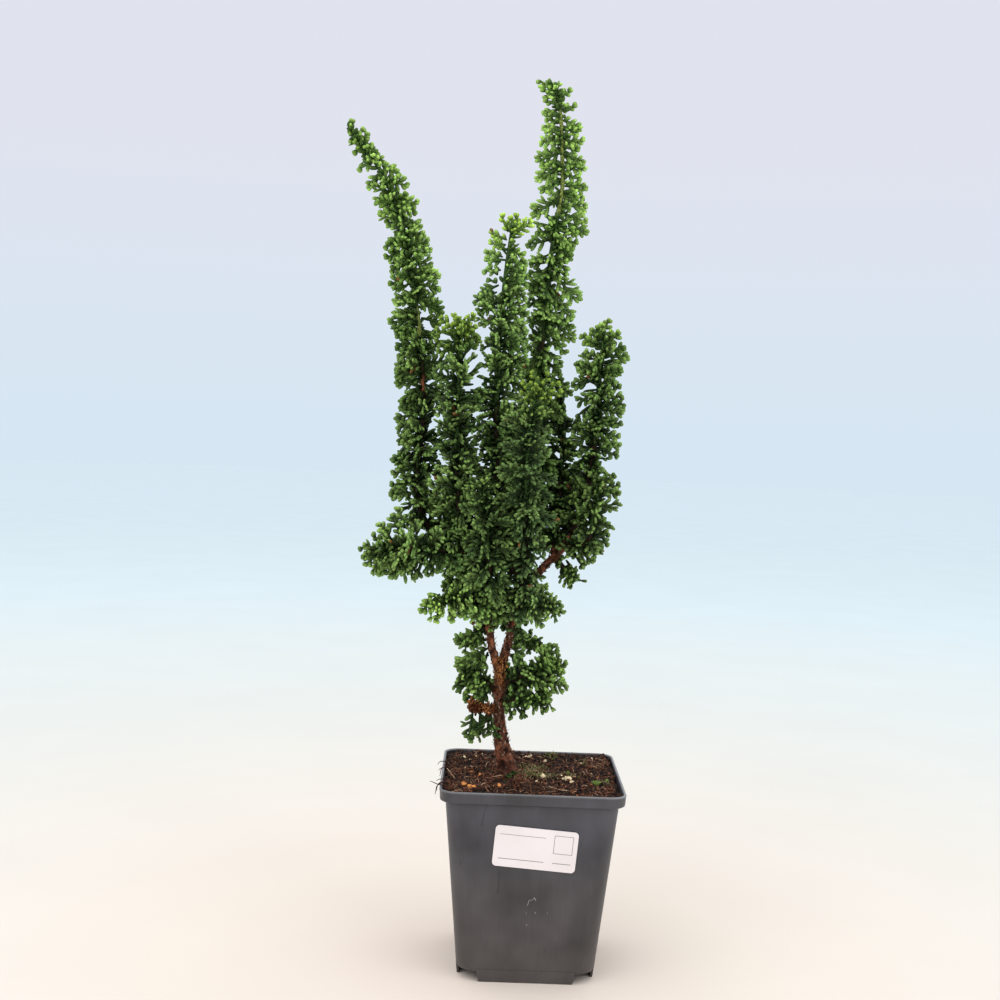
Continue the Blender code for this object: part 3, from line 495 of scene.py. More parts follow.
# Habits: how far a stem's hands rise at its foot and at its tip in degrees, how much they hang,
# how young its tip is, how blue it is, how wide its twigs are, how much its hands roll and how
# bright it is.
HABIT = {
    "leader_left": (-8, 42, 0.15, 0.35, 0.0, 1.0, 1.6, 1.0),
    "leader_left_short": (0, 52, 0.1, 0.95, 0.15, 0.92, 1.6, 0.9),
    "leader_centre": (-5, 58, 0.08, 0.9, 0.3, 0.90, 1.6, 1.15),
    "leader_tall": (-26, 42, 0.35, 0.25, 0.15, 1.0, 1.6, 1.1),
    "leader_front": (-12, 50, 0.25, 0.9, 0.8, 0.82, 1.6, 0.85),
    "leader_right": (-5, 45, 0.1, 0.35, 0.05, 1.0, 1.6, 1.05),
    "middle_front": (-10, 35, 0.25, 0.2, 0.5, 0.88, 1.6, 0.95),
    "front_low_left": (0, 20, 0.25, 0.3, 0.0, 0.95, 0.9, 1.9),
    "front_low_right": (0, 20, 0.2, 0.15, 0.9, 0.82, 0.9, 1.3),
    "low_left_droop": (-10, 0, 1.3, 0.1, 0.2, 0.9, 0.9, 0.95),
    "left_spread": (0, 20, 0.2, 0.15, 0.3, 1.0, 0.9, 1.35),
}
UPRIGHT_HABIT = (-5, 40, 0.12, 0.2, 0.25, 0.98, 1.6, 0.85)
SPREADING_HABIT = (0, 20, 0.12, 0.15, 0.2, 0.98, 0.9, 1.2)
# Spreading stems bear hands this much closer, and no hand of theirs is shorter than this
SPREADING_STEP = 0.8
LEAST_REACH = 5.0
# Higher sprays are in more light: from what height on, over what height, by how much at the top, how yellow
# they are there and how much of the leaf's green their shaded parts have there
LIT_FROM, LIT_RUN, LIT_GAIN, LIT_YOUNG, LIT_BODY = 280, 110, 0.75, 0.2, 0.4
SPREADING = (
    "left_spread", "front_low_left", "front_low_right", "low_left", "low_left_droop", "low_right",
    "low_right_under", "under_left", "under_right", "right_low", "back_low", "back_low_left",
    "back_low_right", "low_back",
)

# The trunk and its limbs: their corners, the distance of their rings and the swelling at the soil
TRUNK_SIDES, LIMB_SIDES, WOOD_STEP = 32, 22, 0.6
FLARE_HEIGHT, FLARE_RUN, FLARE = 93, 7, 0.10
# Bark is darker towards its foot up to a height, redder from another one on, and orange round the fork
DARK_FOOT_TOP, DARK_FOOT_RUN, DARK_FOOT_SHARE = 102, 8, 0.5
RED_FROM, RED_RUN, RED_LEAST, RED_SHARE = 100, 90, 0.45, 0.3
FORK_HEIGHT, FORK_REACH, FORK_SHARE = 146, 10, 0.25
# Its plates, cracks and grain: their sizes, and how far they rise
CRACK_SIZE, CRACK_RISE = 2.6, 0.10
PLATE_SIZE, PLATE_RISE = (1.5, 1.5, 1.1), 0.05
GRAIN_SIZE, GRAIN_RISE = 0.7, 0.05
# The seed of the shift that sets the plates out of their rows
BARK_SEED = 1
# Loose flakes of bark: how many at each ring, their size, rise and turn, how deep they sit and how dark the
# ones low on the trunk are
TRUNK_FLAKES, LIMB_FLAKES = 4.2, 2.4
FLAKE_LENGTH, FLAKE_WIDTH, FLAKE_THICKNESS = (1.2, 2.6), (0.5, 1.1), 0.3
FLAKE_RISE, FLAKE_TURN, FLAKE_DEPTH = (0.05, 0.35), 0.7, 0.97
FLAKE_DARK_TOP, FLAKE_DARK_SHARE, FLAKE_ORANGE_REACH = 98, 0.5, 12
# Thorn-like spikes among them: what share, and their length and width
SPIKE_SHARE, SPIKE_LENGTH, SPIKE_WIDTH = 0.16, (1.2, 2.4), 0.4
# Orange bits of dead leaves caught in the fork, from the first place to the second
FORK_BITS = 70
FORK_LOW, FORK_HIGH = Vector((-15.6, 1, 139)), Vector((-17.4, 0.5, 154))
FORK_BIT_SPREAD, FORK_BIT_FRONT, FORK_BIT_SIZE = 1.3, -2.1, ((1.2, 2.4), (0.8, 1.5))

# The dead tuft's leaves, and those that run along the stub up to the trunk
DRY_STEP, DRY_LEAVES, DRY_STEM = 0.35, 7, 0.9
DRY_LENGTH, DRY_WIDTH, DRY_THICKNESS = (1.6, 3.2), (1.0, 1.9), 0.4
STUB_BITS, STUB_LENGTH, STUB_SPREAD = 90, (1.6, 3.0), 1.9
STUB_START, STUB_END = Vector((-19.4, -1.2, 127.6)), Vector((-25.5, -1.6, 128))

# How far from the wall the things on the peat stay
SOIL_MARGIN = 2.5
# Crumbs: how many, their size, and up to what draw each is a red or a tan fibre or a chip
CRUMBS, CRUMB_SIZE = 1400, (0.3, 1.25)
CRUMB_RED, CRUMB_TAN, CRUMB_CHIP = 0.11, 0.15, 0.17
# Fibres: how many, their length and thickness, and how they rise
FIBRES, FIBRE_LENGTH, FIBRE_RADIUS, FIBRE_RISES = 460, (2.5, 8.5), (0.10, 0.26), (0.05, 0.05, 0.5, 1.2)
# Pumice and orange chips where the photo shows them: x, y, size and colour
GRIT = (
    (-34, 28.9, 1.5, PUMICE_CREAM), (-28, 31, 0.8, PUMICE_CREAM), (-1.3, 36, 2.1, PUMICE_CREAM),
    (0.6, 34.5, 1.4, PUMICE_CREAM), (8.5, 28.7, 1.5, PUMICE_CREAM), (17.9, -3, 2.0, PUMICE_CREAM),
    (20.4, -6.6, 2.1, PUMICE_CREAM), (15.8, 0.5, 1.2, PUMICE_CREAM), (6.2, -2.6, 1.6, PUMICE_CREAM),
    (3, -8, 1.0, PUMICE_CREAM), (33.6, 36, 1.2, PUMICE_CREAM), (32.1, 11.1, 1.3, PUMICE_CREAM),
    (-33.4, -19.8, 2.7, CHIP_ORANGE), (-30.5, -22.5, 2.2, CHIP_ORANGE), (-16.1, -19.3, 1.6, CHIP_ORANGE),
    (-28.5, -23.8, 1.6, CHIP_ORANGE), (19.2, -3.6, 2.3, PUMICE_CREAM), (16.6, -1.4, 1.7, PUMICE_CREAM),
    (-25.6, -3.2, 1.2, CHIP_ORANGE), (-21.1, 30.8, 1.3, CHIP_ORANGE), (34, 3.3, 1.0, CHIP_ORANGE),
    (-30, 8, 0.9, CHIP_ORANGE), (22, -29, 1.2, CHIP_ORANGE), (27, 24, 0.9, PUMICE_CREAM),
)
# Straws: where they start, where they point, their length, radius and colour; one stands upright
STRAWS = (
    (-38.1, -8.9, 0.4, 3.0, 7.5, 0.32, FIBRE_TAN), (8.6, -18.5, 12, -12, 16, 0.38, FIBRE_TAN),
    (-33, -2, 9, -13, 11, 0.24, FIBRE_RED), (5, 12, 8, 6, 8, 0.25, FIBRE_TAN),
    (24, 28, 7, 9, 9, 0.22, FIBRE_TAN), (10, -24, 12, 3, 9, 0.22, FIBRE_RED),
)
# Roots over the left rim: where they cross it, how they point there and how long they hang
RIM_ROOTS = (
    (-42.2, 8, 95.7, -1, -0.9, 0.3, 9.5), (-42.5, 11, 95.8, -1, -0.3, 0.4, 7.0),
    (-42.0, 3, 95.6, -1, -1.2, 0.1, 6.0), (-42.0, -30, 95.8, -1, -1.1, 0.1, 13.0),
    (-42.0, -28, 95.8, -1, -0.2, 0.4, 8.0), (-41.8, -33, 95.7, -1, -0.7, 0.2, 9.5),
    (-42.2, -25, 95.9, -1, 0.3, 0.1, 5.0),
)
RIM_ROOT_START, RIM_ROOT_SOIL, RIM_ROOT_RADII = 4, 93.8, (0.36, 0.34)
# A dark root lump beside the trunk's foot, and where red-brown fibres lie thick: middle and half sizes
DARK_CLUMP, CLUMP_CRUMBS, CLUMP_SPREAD = (-6.0, -11.0), 60, (1.2, 5.0)
FIBRE_PATCHES, PATCH_FIBRES = ((-38, 8, 3.0, 9.0), (-38, -24, 2.5, 6.0), (35, 24, 5.0, 9.0)), 45

# Moss: the middle of each patch, its size, its blades and their colour
MOSS_PATCHES = (
    (2, 13, 8, 230, MOSS_GREEN), (0, 2, 6, 200, MOSS_GREEN), (7, 3, 6, 130, MOSS_GREEN),
    (-5, -9, 4, 70, MOSS_GREEN), (11.8, 38, 4, 70, MOSS_GREEN), (-13, 10, 2.5, 25, WEED_GREEN),
    (20, 6, 4, 50, MOSS_GREEN), (36, -8, 4, 40, MOSS_GREEN), (28, 28, 5, 30, MOSS_GREEN),
    (41, 27, 3, 60, FIBRE_RED),
)
MOSS_LENGTH, MOSS_WIDTH, MOSS_THICKNESS = (0.9, 2.4), (0.3, 0.7), 0.5
# Weeds: where each stands, its leaves and their length
WEEDS = ((33.3, -12.5, 8, 2.6), (20.5, 7.5, 4, 2.0), (11.8, 40, 6, 2.4), (38, -4, 3, 2.0), (-13, 11, 5, 2.0))
WEED_WIDTH = 1.5
# The fallen sprig: its foot, the way from one pair of leaves to the next, how many pairs and a leaf's size
SPRIG_FOOT, SPRIG_STEP, SPRIG_PAIRS, SPRIG_LEAF = (-14.1, -9.4), (1.16, 2.54), 6, (4.2, 1.5)

# The pot's plastic from its foot to its lip: share of the height and colour; the light colour at the very top is
# a painted highlight along the lip
POT_TONES = (
    (0.0, (0.050, 0.043, 0.042)), (1.0, (0.170, 0.175, 0.185)), (0.4, (0.046, 0.042, 0.043)),
    (0.75, (0.043, 0.042, 0.051)), (0.988, (0.053, 0.051, 0.058)),
)
SCRATCH_WHITE, SCRATCH_DARK = (0.42, 0.41, 0.40, 1), (0.012, 0.012, 0.014, 1)
# Strokes on the pot's front: from and to as x and z, how wide and how strong
LIGHT_SCRATCHES = (
    ((-0.5, 39.9), (0.3, 42.7), 0.22, 0.7), ((0.3, 42.7), (1.3, 42.5), 0.18, 0.5),
    ((1.3, 42.5), (2.7, 43.9), 0.2, 0.6), ((2.7, 43.9), (3.4, 42.7), 0.28, 0.8),
    ((3.4, 36.4), (3.5, 36.1), 0.4, 0.5), ((9.2, 36.8), (9.4, 35.9), 0.2, 0.4),
    ((-0.5, 30.2), (-0.5, 29.6), 0.35, 0.45), ((-0.9, 35.0), (-0.8, 36.5), 0.15, 0.35),
)
DARK_SCRATCHES = (
    ((-21.4, 91.6), (-22.9, 86.1), 0.35, 0.8), ((-22.9, 86.1), (-24.1, 79.0), 0.5, 0.8),
    ((-14.6, 56.4), (-15.0, 45.6), 0.8, 0.6), ((-33.5, 61.0), (-33.5, 58.6), 0.5, 0.7),
    ((-23.9, 56.0), (-23.8, 55.7), 0.6, 0.7), ((24.5, 74.6), (23.8, 70.7), 0.3, 0.6),
    ((9.0, 17.6), (9.2, 17.2), 0.6, 0.5),
)
# The pot's front lies beyond this y, and strokes fade out over this much before it
FRONT_FROM, FRONT_FADE = -30, 2
LABEL_WHITES, LABEL_INK = ((0.3, (0.775, 0.71, 0.70)), (0.7, (0.815, 0.75, 0.75))), (0.16, 0.15, 0.16, 1)

# The floor, in metres: its rings, and its colours by their share of the distance they reach to; near the pot the
# colours are lighter, painted light that lifts the shadows round its foot
FLOOR_RINGS, FLOOR_SIDES, FLOOR_REACH = (0.3, 0.8, 1.6, 3.2, 7.0), 96, 4.0
FLOOR_TONES = (
    (0.0, (0.74, 0.655, 0.585)), (1.0, (0.592, 0.716, 0.798)), (0.03, (0.68, 0.625, 0.565)),
    (0.15, (0.61, 0.64, 0.625)), (0.36, (0.59, 0.70, 0.748)),
)
# The sky, by the height of the view's direction
SKY_TONES = (
    (0.0, (0.675, 0.795, 0.893)), (0.6, (1.25, 1.22, 1.20)), (0.2, (0.75, 0.77, 0.86)),
    (0.36, (0.75, 0.77, 0.86)),
)
# Soft lamps, in metres: place, size and power, all turned to the middle of the tree
LAMPS = {
    "front_left": ((-1.0, -1.2, 1.1), 1.4, 9), "front_right": ((1.2, -1.0, 0.9), 1.4, 6),
    "top": ((0.0, 0.1, 1.8), 1.6, 8),
}
LAMP_AIM = Vector((0, 0, 0.22))


def unit(v):
    return v.normalized()


def held(value):
    """A share kept between 0 and 1."""
    return min(1, max(0, value))


def around(across, over, angle):
    """The direction at an angle round a stem, from two directions across it."""
    return across * math.cos(angle) + over * math.sin(angle)


def spread(rng, amount=1.0):
    """A random offset of up to the amount along each axis."""
    return Vector([rng.uniform(-amount, amount) for _ in range(3)])


def any_way(rng):
    """A random level direction."""
    return around(Vector((1, 0, 0)), Vector((0, 1, 0)), rng.uniform(0, math.tau))


def smooth_curve(route, step, pieces=10):
    """Points every step or so on the smooth curve through a route, with their fourth value."""
    knots = [Vector(p) for p in route]
    dense = []
    for i in range(len(knots) - 1):
        before = knots[max(i - 1, 0)]
        after = knots[min(i + 2, len(knots) - 1)]
        a, b = knots[i], knots[i + 1]
        for k in range(pieces):
            t = k / pieces
            square = (2 * before - 5 * a + 4 * b - after) * t * t
            cube = (3 * a - before - 3 * b + after) * t * t * t
            dense.append((2 * a + (b - before) * t + square + cube) / 2)
    dense.append(knots[-1])
    dense = np.array(dense)
    gaps = np.linalg.norm(np.diff(dense[:, :3], axis=0), axis=1)
    lengths = np.concatenate(([0], np.cumsum(gaps)))
    goals = np.linspace(0, lengths[-1], max(2, round(lengths[-1] / step)) + 1)
    rows = np.stack([np.interp(goals, lengths, dense[:, k]) for k in range(4)], axis=1)
    return [Vector(row) for row in rows]


def stem_frames(points):
    """A stem's directions at each point: along it, and two across it that turn as little as they can."""
    frames = []
    across = None
    for i in range(len(points)):
        along = unit(points[min(i + 1, len(points) - 1)].xyz - points[max(i - 1, 0)].xyz)
        if across is None:
            across = along.orthogonal()
        across = unit(across - along * across.dot(along))
        frames.append((along, across, along.cross(across)))
    return frames


class Cloud:
    """Points, faces and colours of many small closed shapes that make one mesh."""

    def __init__(self):
        self.points, self.colours, self.faces = [], [], {}
        self.count = 0

    def add(self, points, colours, *faces):
        for block in faces:
            block = np.asarray(block)
            self.faces.setdefault(block.shape[1], []).append(block + self.count)
        colours = np.asarray(colours)
        if colours.shape[1] == 3:
            colours = np.concatenate((colours, np.full((len(colours), 1), NO_ROWS)), axis=1)
        self.points.append(np.asarray(points))
        self.colours.append(colours)
        self.count += len(points)

    def mesh(self, name):
        points = np.concatenate(self.points)
        points = (points + np.array(POT_OFFSET)) * MM
        colours = np.concatenate(self.colours)
        blocks = {size: np.concatenate(found) for size, found in self.faces.items()}
        corners = np.concatenate([block.ravel() for block in blocks.values()])
        sizes = np.concatenate([np.full(len(block), size) for size, block in blocks.items()])
        starts = np.concatenate(([0], np.cumsum(sizes)[:-1]))
        mesh = bpy.data.meshes.new(name)
        mesh.vertices.add(len(points))
        mesh.vertices.foreach_set("co", points.astype(np.float32).ravel())
        mesh.loops.add(len(corners))
        mesh.loops.foreach_set("vertex_index", corners.astype(np.int32))
        mesh.polygons.add(len(sizes))
        mesh.polygons.foreach_set("loop_start", starts.astype(np.int32))
        mesh.polygons.foreach_set("loop_total", sizes.astype(np.int32))
        mesh.update(calc_edges=True)
        layer = mesh.color_attributes.new("tone", "FLOAT_COLOR", "POINT")
        layer.data.foreach_set("color", colours.astype(np.float32).ravel())
        mesh.shade_smooth()
        return mesh


def add_object(name, data):
    obj = bpy.data.objects.new(name, data)
    bpy.context.scene.collection.objects.link(obj)
    return obj


def piece(name, mesh, material, slot, *nodes):
    """An object for a mesh that stands for CAD nodes and rides on the one body."""
    obj = add_object(name, mesh)
    mesh.materials.append(material)
    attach(obj, "root")
    for node in nodes:
        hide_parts(node)
    return obj


def in_photo(points):
    """Where the photo shows places: the pixels across and the pixels down."""
    seen = (points - np.array(CAMERA_PLACE)) @ CAMERA_AXES
    across, up = (PHOTO / 2 - FOCAL_LENGTH * seen[:, k] / seen[:, 2] for k in (0, 1))
    return across, PHOTO - up


def from_photo(across, down, depth):
    """The place at a depth behind the pot's middle that the photo shows at a pixel."""
    ray = CAMERA_AXES @ ((across - PHOTO / 2) / FOCAL_LENGTH, (PHOTO / 2 - down) / FOCAL_LENGTH, -1)
    return Vector(np.array(CAMERA_PLACE) + ray * (depth - CAMERA_PLACE[1]) / ray[1])


def place_spray(points, reading):
    """Which of the stem's points is nearest to a placed spray's root, and the spray's root and tip,
    both as deep as that point."""
    across, down, tip_across, tip_down = reading
    stem_across, stem_down = in_photo(np.array([point.xyz for point in points]))
    near = int(np.argmin(np.hypot(stem_across - across, stem_down - down)))
    depth = points[near].y
    return near, from_photo(across, down, depth), from_photo(tip_across, tip_down, depth)


def in_ellipses(points, ellipses, margin):
    """Which places the photo shows inside one of the ellipses."""
    across, down = in_photo(points)
    found = np.zeros(len(points), dtype=bool)
    for middle, height, half_width, half_height in ellipses:
        beside, above = (across - middle) / (half_width + margin), (down - height) / (half_height + margin)
        found |= beside ** 2 + above ** 2 < 1
    return found


class Twigs:
    """Rows of twigs that are turned into one cloud of closed shapes."""

    def __init__(self):
        self.rows, self.hand = [], 0

    def add(self, base, along, side, length, width, low, high, bend=Vector((0, 0, 0)), leads=False):
        """Adds a twig, coloured from low at its base, painted shade, to high at its tip; one that leads begins a
        hand, and the twigs added after it hang on it.
        """
        side = unit(side - along * side.dot(along))
        self.hand += leads
        self.rows.append((*base, *along, *side, *bend, *low, *high, length, width, self.hand, leads))

    def columns(self):
        """What add was given, and the hands' numbers, as one array each."""
        table = np.array(self.rows)
        vectors = np.split(table[:, :3 * TWIG_VECTORS], TWIG_VECTORS, axis=1)
        return *vectors, *table[:, 3 * TWIG_VECTORS:].T

    def keep_inside(self):
        """Drops the twigs that would pass the box of the solids, close a gap or hide a bare stem."""
        start, along, _, bend, _, _, length, width, hand, leads = self.columns()
        low, high = (np.array(corner) / MM - np.array(POT_OFFSET) for corner in cad_box)
        end = start + along * length[:, None] + bend
        half = width[:, None] / 2
        inside = np.all(
            (np.minimum(start, end) - half >= low) & (np.maximum(start, end) + half <= high), axis=1,
        )
        for share in (0.5, 1.0):
            at = start + (end - start) * share
            bare = in_ellipses(at, BARE, BARE_MARGIN) & (at[:, 1] < BARE_BACK)
            blocked = in_ellipses(at, GAPS, GAP_MARGIN) | bare
            inside &= ~blocked & ~np.isin(hand, hand[blocked & (leads > 0)])
        self.rows = [row for row, kept in zip(self.rows, inside) if kept]

    def fill(self, cloud, thickness=TWIG_THICKNESS):
        """Adds each twig to a cloud: a flat base, rings of corners that swell, and a point."""
        base, along, side, bend, low, high, length, width, _, _ = self.columns()
        count, rings = len(base), len(TWIG_RINGS)
        share = TWIG_RINGS[:, 0]
        up = np.cross(side, along)
        centre = base[:, None] + along[:, None] * (length[:, None] * share)[..., None]
        centre = centre + bend[:, None] * (share ** 2)[None, :, None]
        turn = np.arange(TWIG_SIDES) * math.tau / TWIG_SIDES
        out = (width[:, None] / 2 * TWIG_RINGS[:, 1])[..., None, None] * np.cos(turn)[None, None, :, None]
        rise = (width[:, None] / 2 * thickness * TWIG_RINGS[:, 2])[..., None, None]
        rise = rise * np.sin(turn)[None, None, :, None]
        ring_points = centre[:, :, None] + side[:, None, None] * out + up[:, None, None] * rise
        tips = (base + along * length[:, None] + bend)[:, None]
        points = np.concatenate((ring_points.reshape(count, rings * TWIG_SIDES, 3), tips), axis=1)
        each = points.shape[1]
        share = np.concatenate((share, [1.0]))
        # Painted shade: each twig darkens from its tip towards its base
        light = TONE_BODY * np.minimum(1, share / TONE_DARK) + (1 - TONE_BODY) * share ** TONE_CURVE
        tone = low[:, None] + (high - low)[:, None] * light[None, :, None]
        to_tip = (length[:, None] * (1 - share))[..., None]
        tone = np.concatenate((tone, to_tip), axis=2)
        tone = np.concatenate((np.repeat(tone[:, :rings], TWIG_SIDES, axis=1), tone[:, rings:]), axis=1)
        first = (np.arange(count) * each)[:, None, None]
        here = np.arange(TWIG_SIDES)
        after = (here + 1) % TWIG_SIDES
        quads = np.concatenate([
            np.stack((k * TWIG_SIDES + here, k * TWIG_SIDES + after,
                      (k + 1) * TWIG_SIDES + after, (k + 1) * TWIG_SIDES + here), axis=1)
            for k in range(rings - 1)
        ])
        last = (rings - 1) * TWIG_SIDES
        tip_faces = np.stack((last + here, last + after, np.full(TWIG_SIDES, each - 1)), axis=1)
        base_face = here[::-1][None]
        cloud.add(
            points.reshape(-1, 3), tone.reshape(-1, 4),
            (quads[None] + first).reshape(-1, 4),
            (tip_faces[None] + first).reshape(-1, 3),
            (base_face[None] + first).reshape(-1, TWIG_SIDES),
        )


def add_tube(cloud, points, radii, colours, sides, bump=None):
    """A closed tube through points; bump gives a corner's share of the radius and of the colour."""
    frames = stem_frames([Vector((*p, 0)) for p in points])
    rings, tones = [], []
    for p, r, colour, (_, across, over) in zip(points, radii, colours, frames):
        for j in range(sides):
            ray = around(across, over, j * math.tau / sides)
            grow, shade = bump(p, ray, r) if bump else (1, 1)
            rings.append(tuple(Vector(p) + ray * r * grow))
            tones.append(tuple(Vector(colour) * shade))
    count = len(points)
    quads = [
        (i * sides + j, i * sides + (j + 1) % sides, (i + 1) * sides + (j + 1) % sides, (i + 1) * sides + j)
        for i in range(count - 1) for j in range(sides)
    ]
    caps = [tuple(reversed(range(sides))), tuple(range((count - 1) * sides, count * sides))]
    cloud.add(rings, tones, quads, caps)


def grow_hand(twigs, root, out, flat, reach, low, high, rng, width, sag=HAND_SAG):
    """One flat hand: a middle twig with close fingers left and right, the longest ones forked."""
    normal = flat.cross(out)
    curl = (normal * rng.uniform(-HAND_CURL, HAND_CURL) + DOWN * rng.uniform(0.0, sag)) * reach
    fingers = max(2, round(reach * FINGER_SPAN / FINGER_STEP))

    def place(share):
        return root + out * reach * share + curl * share * share

    twigs.add(root, out, flat, reach * MIDDLE_LENGTH, width * MIDDLE_WIDTH, low, low.lerp(high, MIDDLE_TONE),
              curl * MIDDLE_LENGTH ** 2, True)
    side = rng.choice((-1, 1))
    for k in range(fingers):
        share = FINGER_FROM + FINGER_RUN * k / (fingers - 1) + rng.uniform(-FINGER_SHIFT, FINGER_SHIFT)
        side = -side
        angle = math.radians(rng.uniform(*FINGER_ANGLE) - FINGER_CLOSING * share)
        across = unit(flat * side * math.cos(angle) - out * math.sin(angle))
        tilt = normal * rng.uniform(-FINGER_TILT, FINGER_TILT)
        aim = unit(out * math.cos(angle) + flat * side * math.sin(angle) + tilt)
        hump = FINGER_HUMP * math.sin(math.pi * min(1, share * FINGER_HUMP_RUN))
        length = reach * (FINGER_LENGTH + hump - FINGER_FALL * share) * rng.uniform(*FINGER_VARIES)
        length = max(length, FINGER_LEAST)
        start = place(share)
        wide = width * rng.uniform(*TWIG_WIDTHS)
        tip = DRY_LIGHT * DEAD_TONE if rng.random() < DEAD_SHARE else high
        twigs.add(start, aim, flat, length, wide, low, tip * rng.uniform(*TWIG_TONES))
        if length > FORK_FROM:
            lean = math.radians(rng.uniform(*FORK_ANGLE))
            turn = rng.choice((-1, 1, 1))
            tilt = normal * rng.uniform(-FINGER_TILT, FINGER_TILT)
            fork = unit(aim * math.cos(lean) - across * turn * math.sin(lean) + tilt)
            at = start + aim * length * rng.uniform(*FORK_PLACE)
            size = max(length * rng.uniform(*FORK_LENGTH), FORK_LEAST)
            twigs.add(at, fork, flat, size, wide * FORK_WIDTH, low, high * rng.uniform(*TWIG_TONES))
    twigs.add(place(END_FROM), unit(out + curl / reach), flat, max(reach * END_LENGTH, FINGER_LEAST), width,
              low, high * rng.uniform(*END_TONES))


def add_axis(cloud, points):
    """A leafy stem's thin woody axis, shaded where leaves hide it."""
    last = len(points) - 1
    axis, radii, colours = [], [], []
    for i in range(0, last, 2):
        place, share = points[i].xyz, i / last
        bare = in_ellipses(np.array([place]), BARE, BARE_MARGIN)[0]
        brown, green = (STEM_BROWN, STEM_GREEN) if bare else (STEM_DARK, STEM_SHADED)
        axis.append(place)
        radii.append(AXIS_THICK + (AXIS_THIN - AXIS_THICK) * share)
        colours.append(brown.lerp(green, held((share - GREEN_FROM) / GREEN_RUN)))
    add_tube(cloud, axis, radii, colours, AXIS_SIDES)


def grow_stem(name, route, habit):
    """A leafy stem: the hands all round it, its placed sprays, the twigs at its tip and its axis."""
    rise_low, rise_high, hang, young, blue, width, rolling, bright = habit
    rng = random.Random(name)
    step = HAND_STEP * (SPREADING_STEP if name in SPREADING else 1)
    wide = TWIG_WIDTH * width
    points = smooth_curve(route, step)
    frames = stem_frames(points)
    last = len(points) - 1
    cloud, twigs = Cloud(), Twigs()
    turn = rng.uniform(0, math.tau)
    placed = [place_spray(points, reading) for reading in PLACED.get(name, ())]

    def tones(i):
        """The dark colour, painted shade at the twigs' bases, and the light colour of their tips at a point of
        the stem.
        """
        youth = young * max(0.0, 1 - (last - i) * step / YOUNG_LENGTH)
        green = LEAF_GREEN.lerp(BLUE_GREEN, blue * (1 - youth))
        lit = held((points[i].z - LIT_FROM) / LIT_RUN)
        high = green.lerp(TIP_GREEN, rng.uniform(*LIGHT_MIX)).lerp(YOUNG_GREEN, max(youth, LIT_YOUNG * lit))
        high *= bright * (1 + LIT_GAIN * lit) * rng.uniform(*LIGHT_VARIES)
        return SHADE_GREEN.lerp(green, DARK_MIX + DARK_YOUNG * youth + LIT_BODY * lit), high

    for i, (point, (along, across, over)) in enumerate(zip(points, frames)):
        share = i / last
        low, high = tones(i)
        is_open = max(0.0, 1 - (last - i) * step / OPEN_TOP.get(name, 1))
        if share < BARE_FOOT or rng.random() < OPEN_SKIP * min(1, OPEN_SKIP_RUN * is_open):
            continue
        turn += GOLDEN_ANGLE + rng.uniform(-HAND_TURN_SHIFT, HAND_TURN_SHIFT)
        radial = around(across, over, turn)
        rise = math.radians(rise_low + (rise_high - rise_low) * share ** 2 + rng.gauss(0, HAND_RISE_SHIFT))
        out = unit(around(radial, along, rise) + DOWN * hang)
        flat = unit(along.cross(out))
        flat = around(flat, flat.cross(out), rng.uniform(-rolling, rolling))
        reach = point.w * rng.uniform(*HAND_REACH) / max(HAND_RISEN, math.cos(rise))
        if any(abs(root.z - point.z) < PLACED_NEAR for _, root, _ in placed):
            reach *= PLACED_SHARE
        reach *= 1 - OPEN_SHORTER * min(1, OPEN_SHORTER_RUN * is_open) * abs(radial.y)
        if name in SPREADING:
            reach = max(reach, LEAST_REACH)
        grow_hand(twigs, point.xyz, out, flat, reach, low, high, rng, wide)
        # Dark twigs inside the spray: painted shade
        for _ in range(INNER_TWIGS):
            inner = around(across, over, rng.uniform(0, math.tau))
            aim = unit(inner + along * rng.uniform(*INNER_LEAN))
            size = min(point.w * INNER_SHARE, rng.uniform(*INNER_LENGTH))
            twigs.add(point.xyz + inner * INNER_OFF, aim, spread(rng) + aim.orthogonal(), size, wide,
                      low, low.lerp(high, INNER_TONE), leads=True)
    for near, root, tip in placed:
        low, high = tones(near)
        out = tip - root
        flat = unit(Vector((out.z, rng.uniform(-PLACED_ROLL, PLACED_ROLL) * out.length, -out.x)))
        grow_hand(twigs, root, unit(out), flat, out.length, low, high, rng, wide, 0)
    along, across, over = frames[-1]
    start = points[-1].xyz - along * TIP_BACK
    for k in range(TIP_TWIGS):
        angle = k * math.tau / TIP_TWIGS + rng.uniform(-TIP_SHIFT, TIP_SHIFT)
        aim = unit(along * TIP_RISE + around(across, over, angle) * TIP_OPEN)
        twigs.add(start, aim, aim.orthogonal(), TIP_LENGTH, TWIG_WIDTH * TIP_WIDTH, low, high, leads=True)
    twigs.keep_inside()
    twigs.fill(cloud)
    add_axis(cloud, points)
    return cloud


def build_foliage(material):
    for name, route in LEAFY.items():
        plain = SPREADING_HABIT if name in SPREADING else UPRIGHT_HABIT
        cloud = grow_stem(name, route, HABIT.get(name, plain))
        piece("sprays_" + name, cloud.mesh("sprays_" + name), material, "foliage", name)


def bark_shift(at):
    """A small smooth shift that keeps the bark's plates from standing in rows."""
    return noise.noise_vector(at / 1.8) * 0.8


def bark_bump(p, ray, r):
    """Plates and cracks of the bark at a place on a limb, and how light they are: darker in the low cracks and
    lighter on the raised plates, partly the bark's own colour and partly painted shade and painted highlight.
    """
    at = Vector((p[0], p[1], p[2] * 0.6)) + ray * r
    crack = noise.noise(at / CRACK_SIZE)
    plate = noise.cell(Vector([at[k] / PLATE_SIZE[k] for k in range(3)]) + bark_shift(at))
    grain = noise.noise(at / GRAIN_SIZE)
    grow = 1 + CRACK_RISE * crack + PLATE_RISE * (plate - 0.5) + GRAIN_RISE * grain
    # Painted shade in the cracks and painted highlight on the raised plates, over the bark's own tones
    return grow, max(0.12, 0.28 + 1.3 * plate ** 2 + 1.0 * crack)


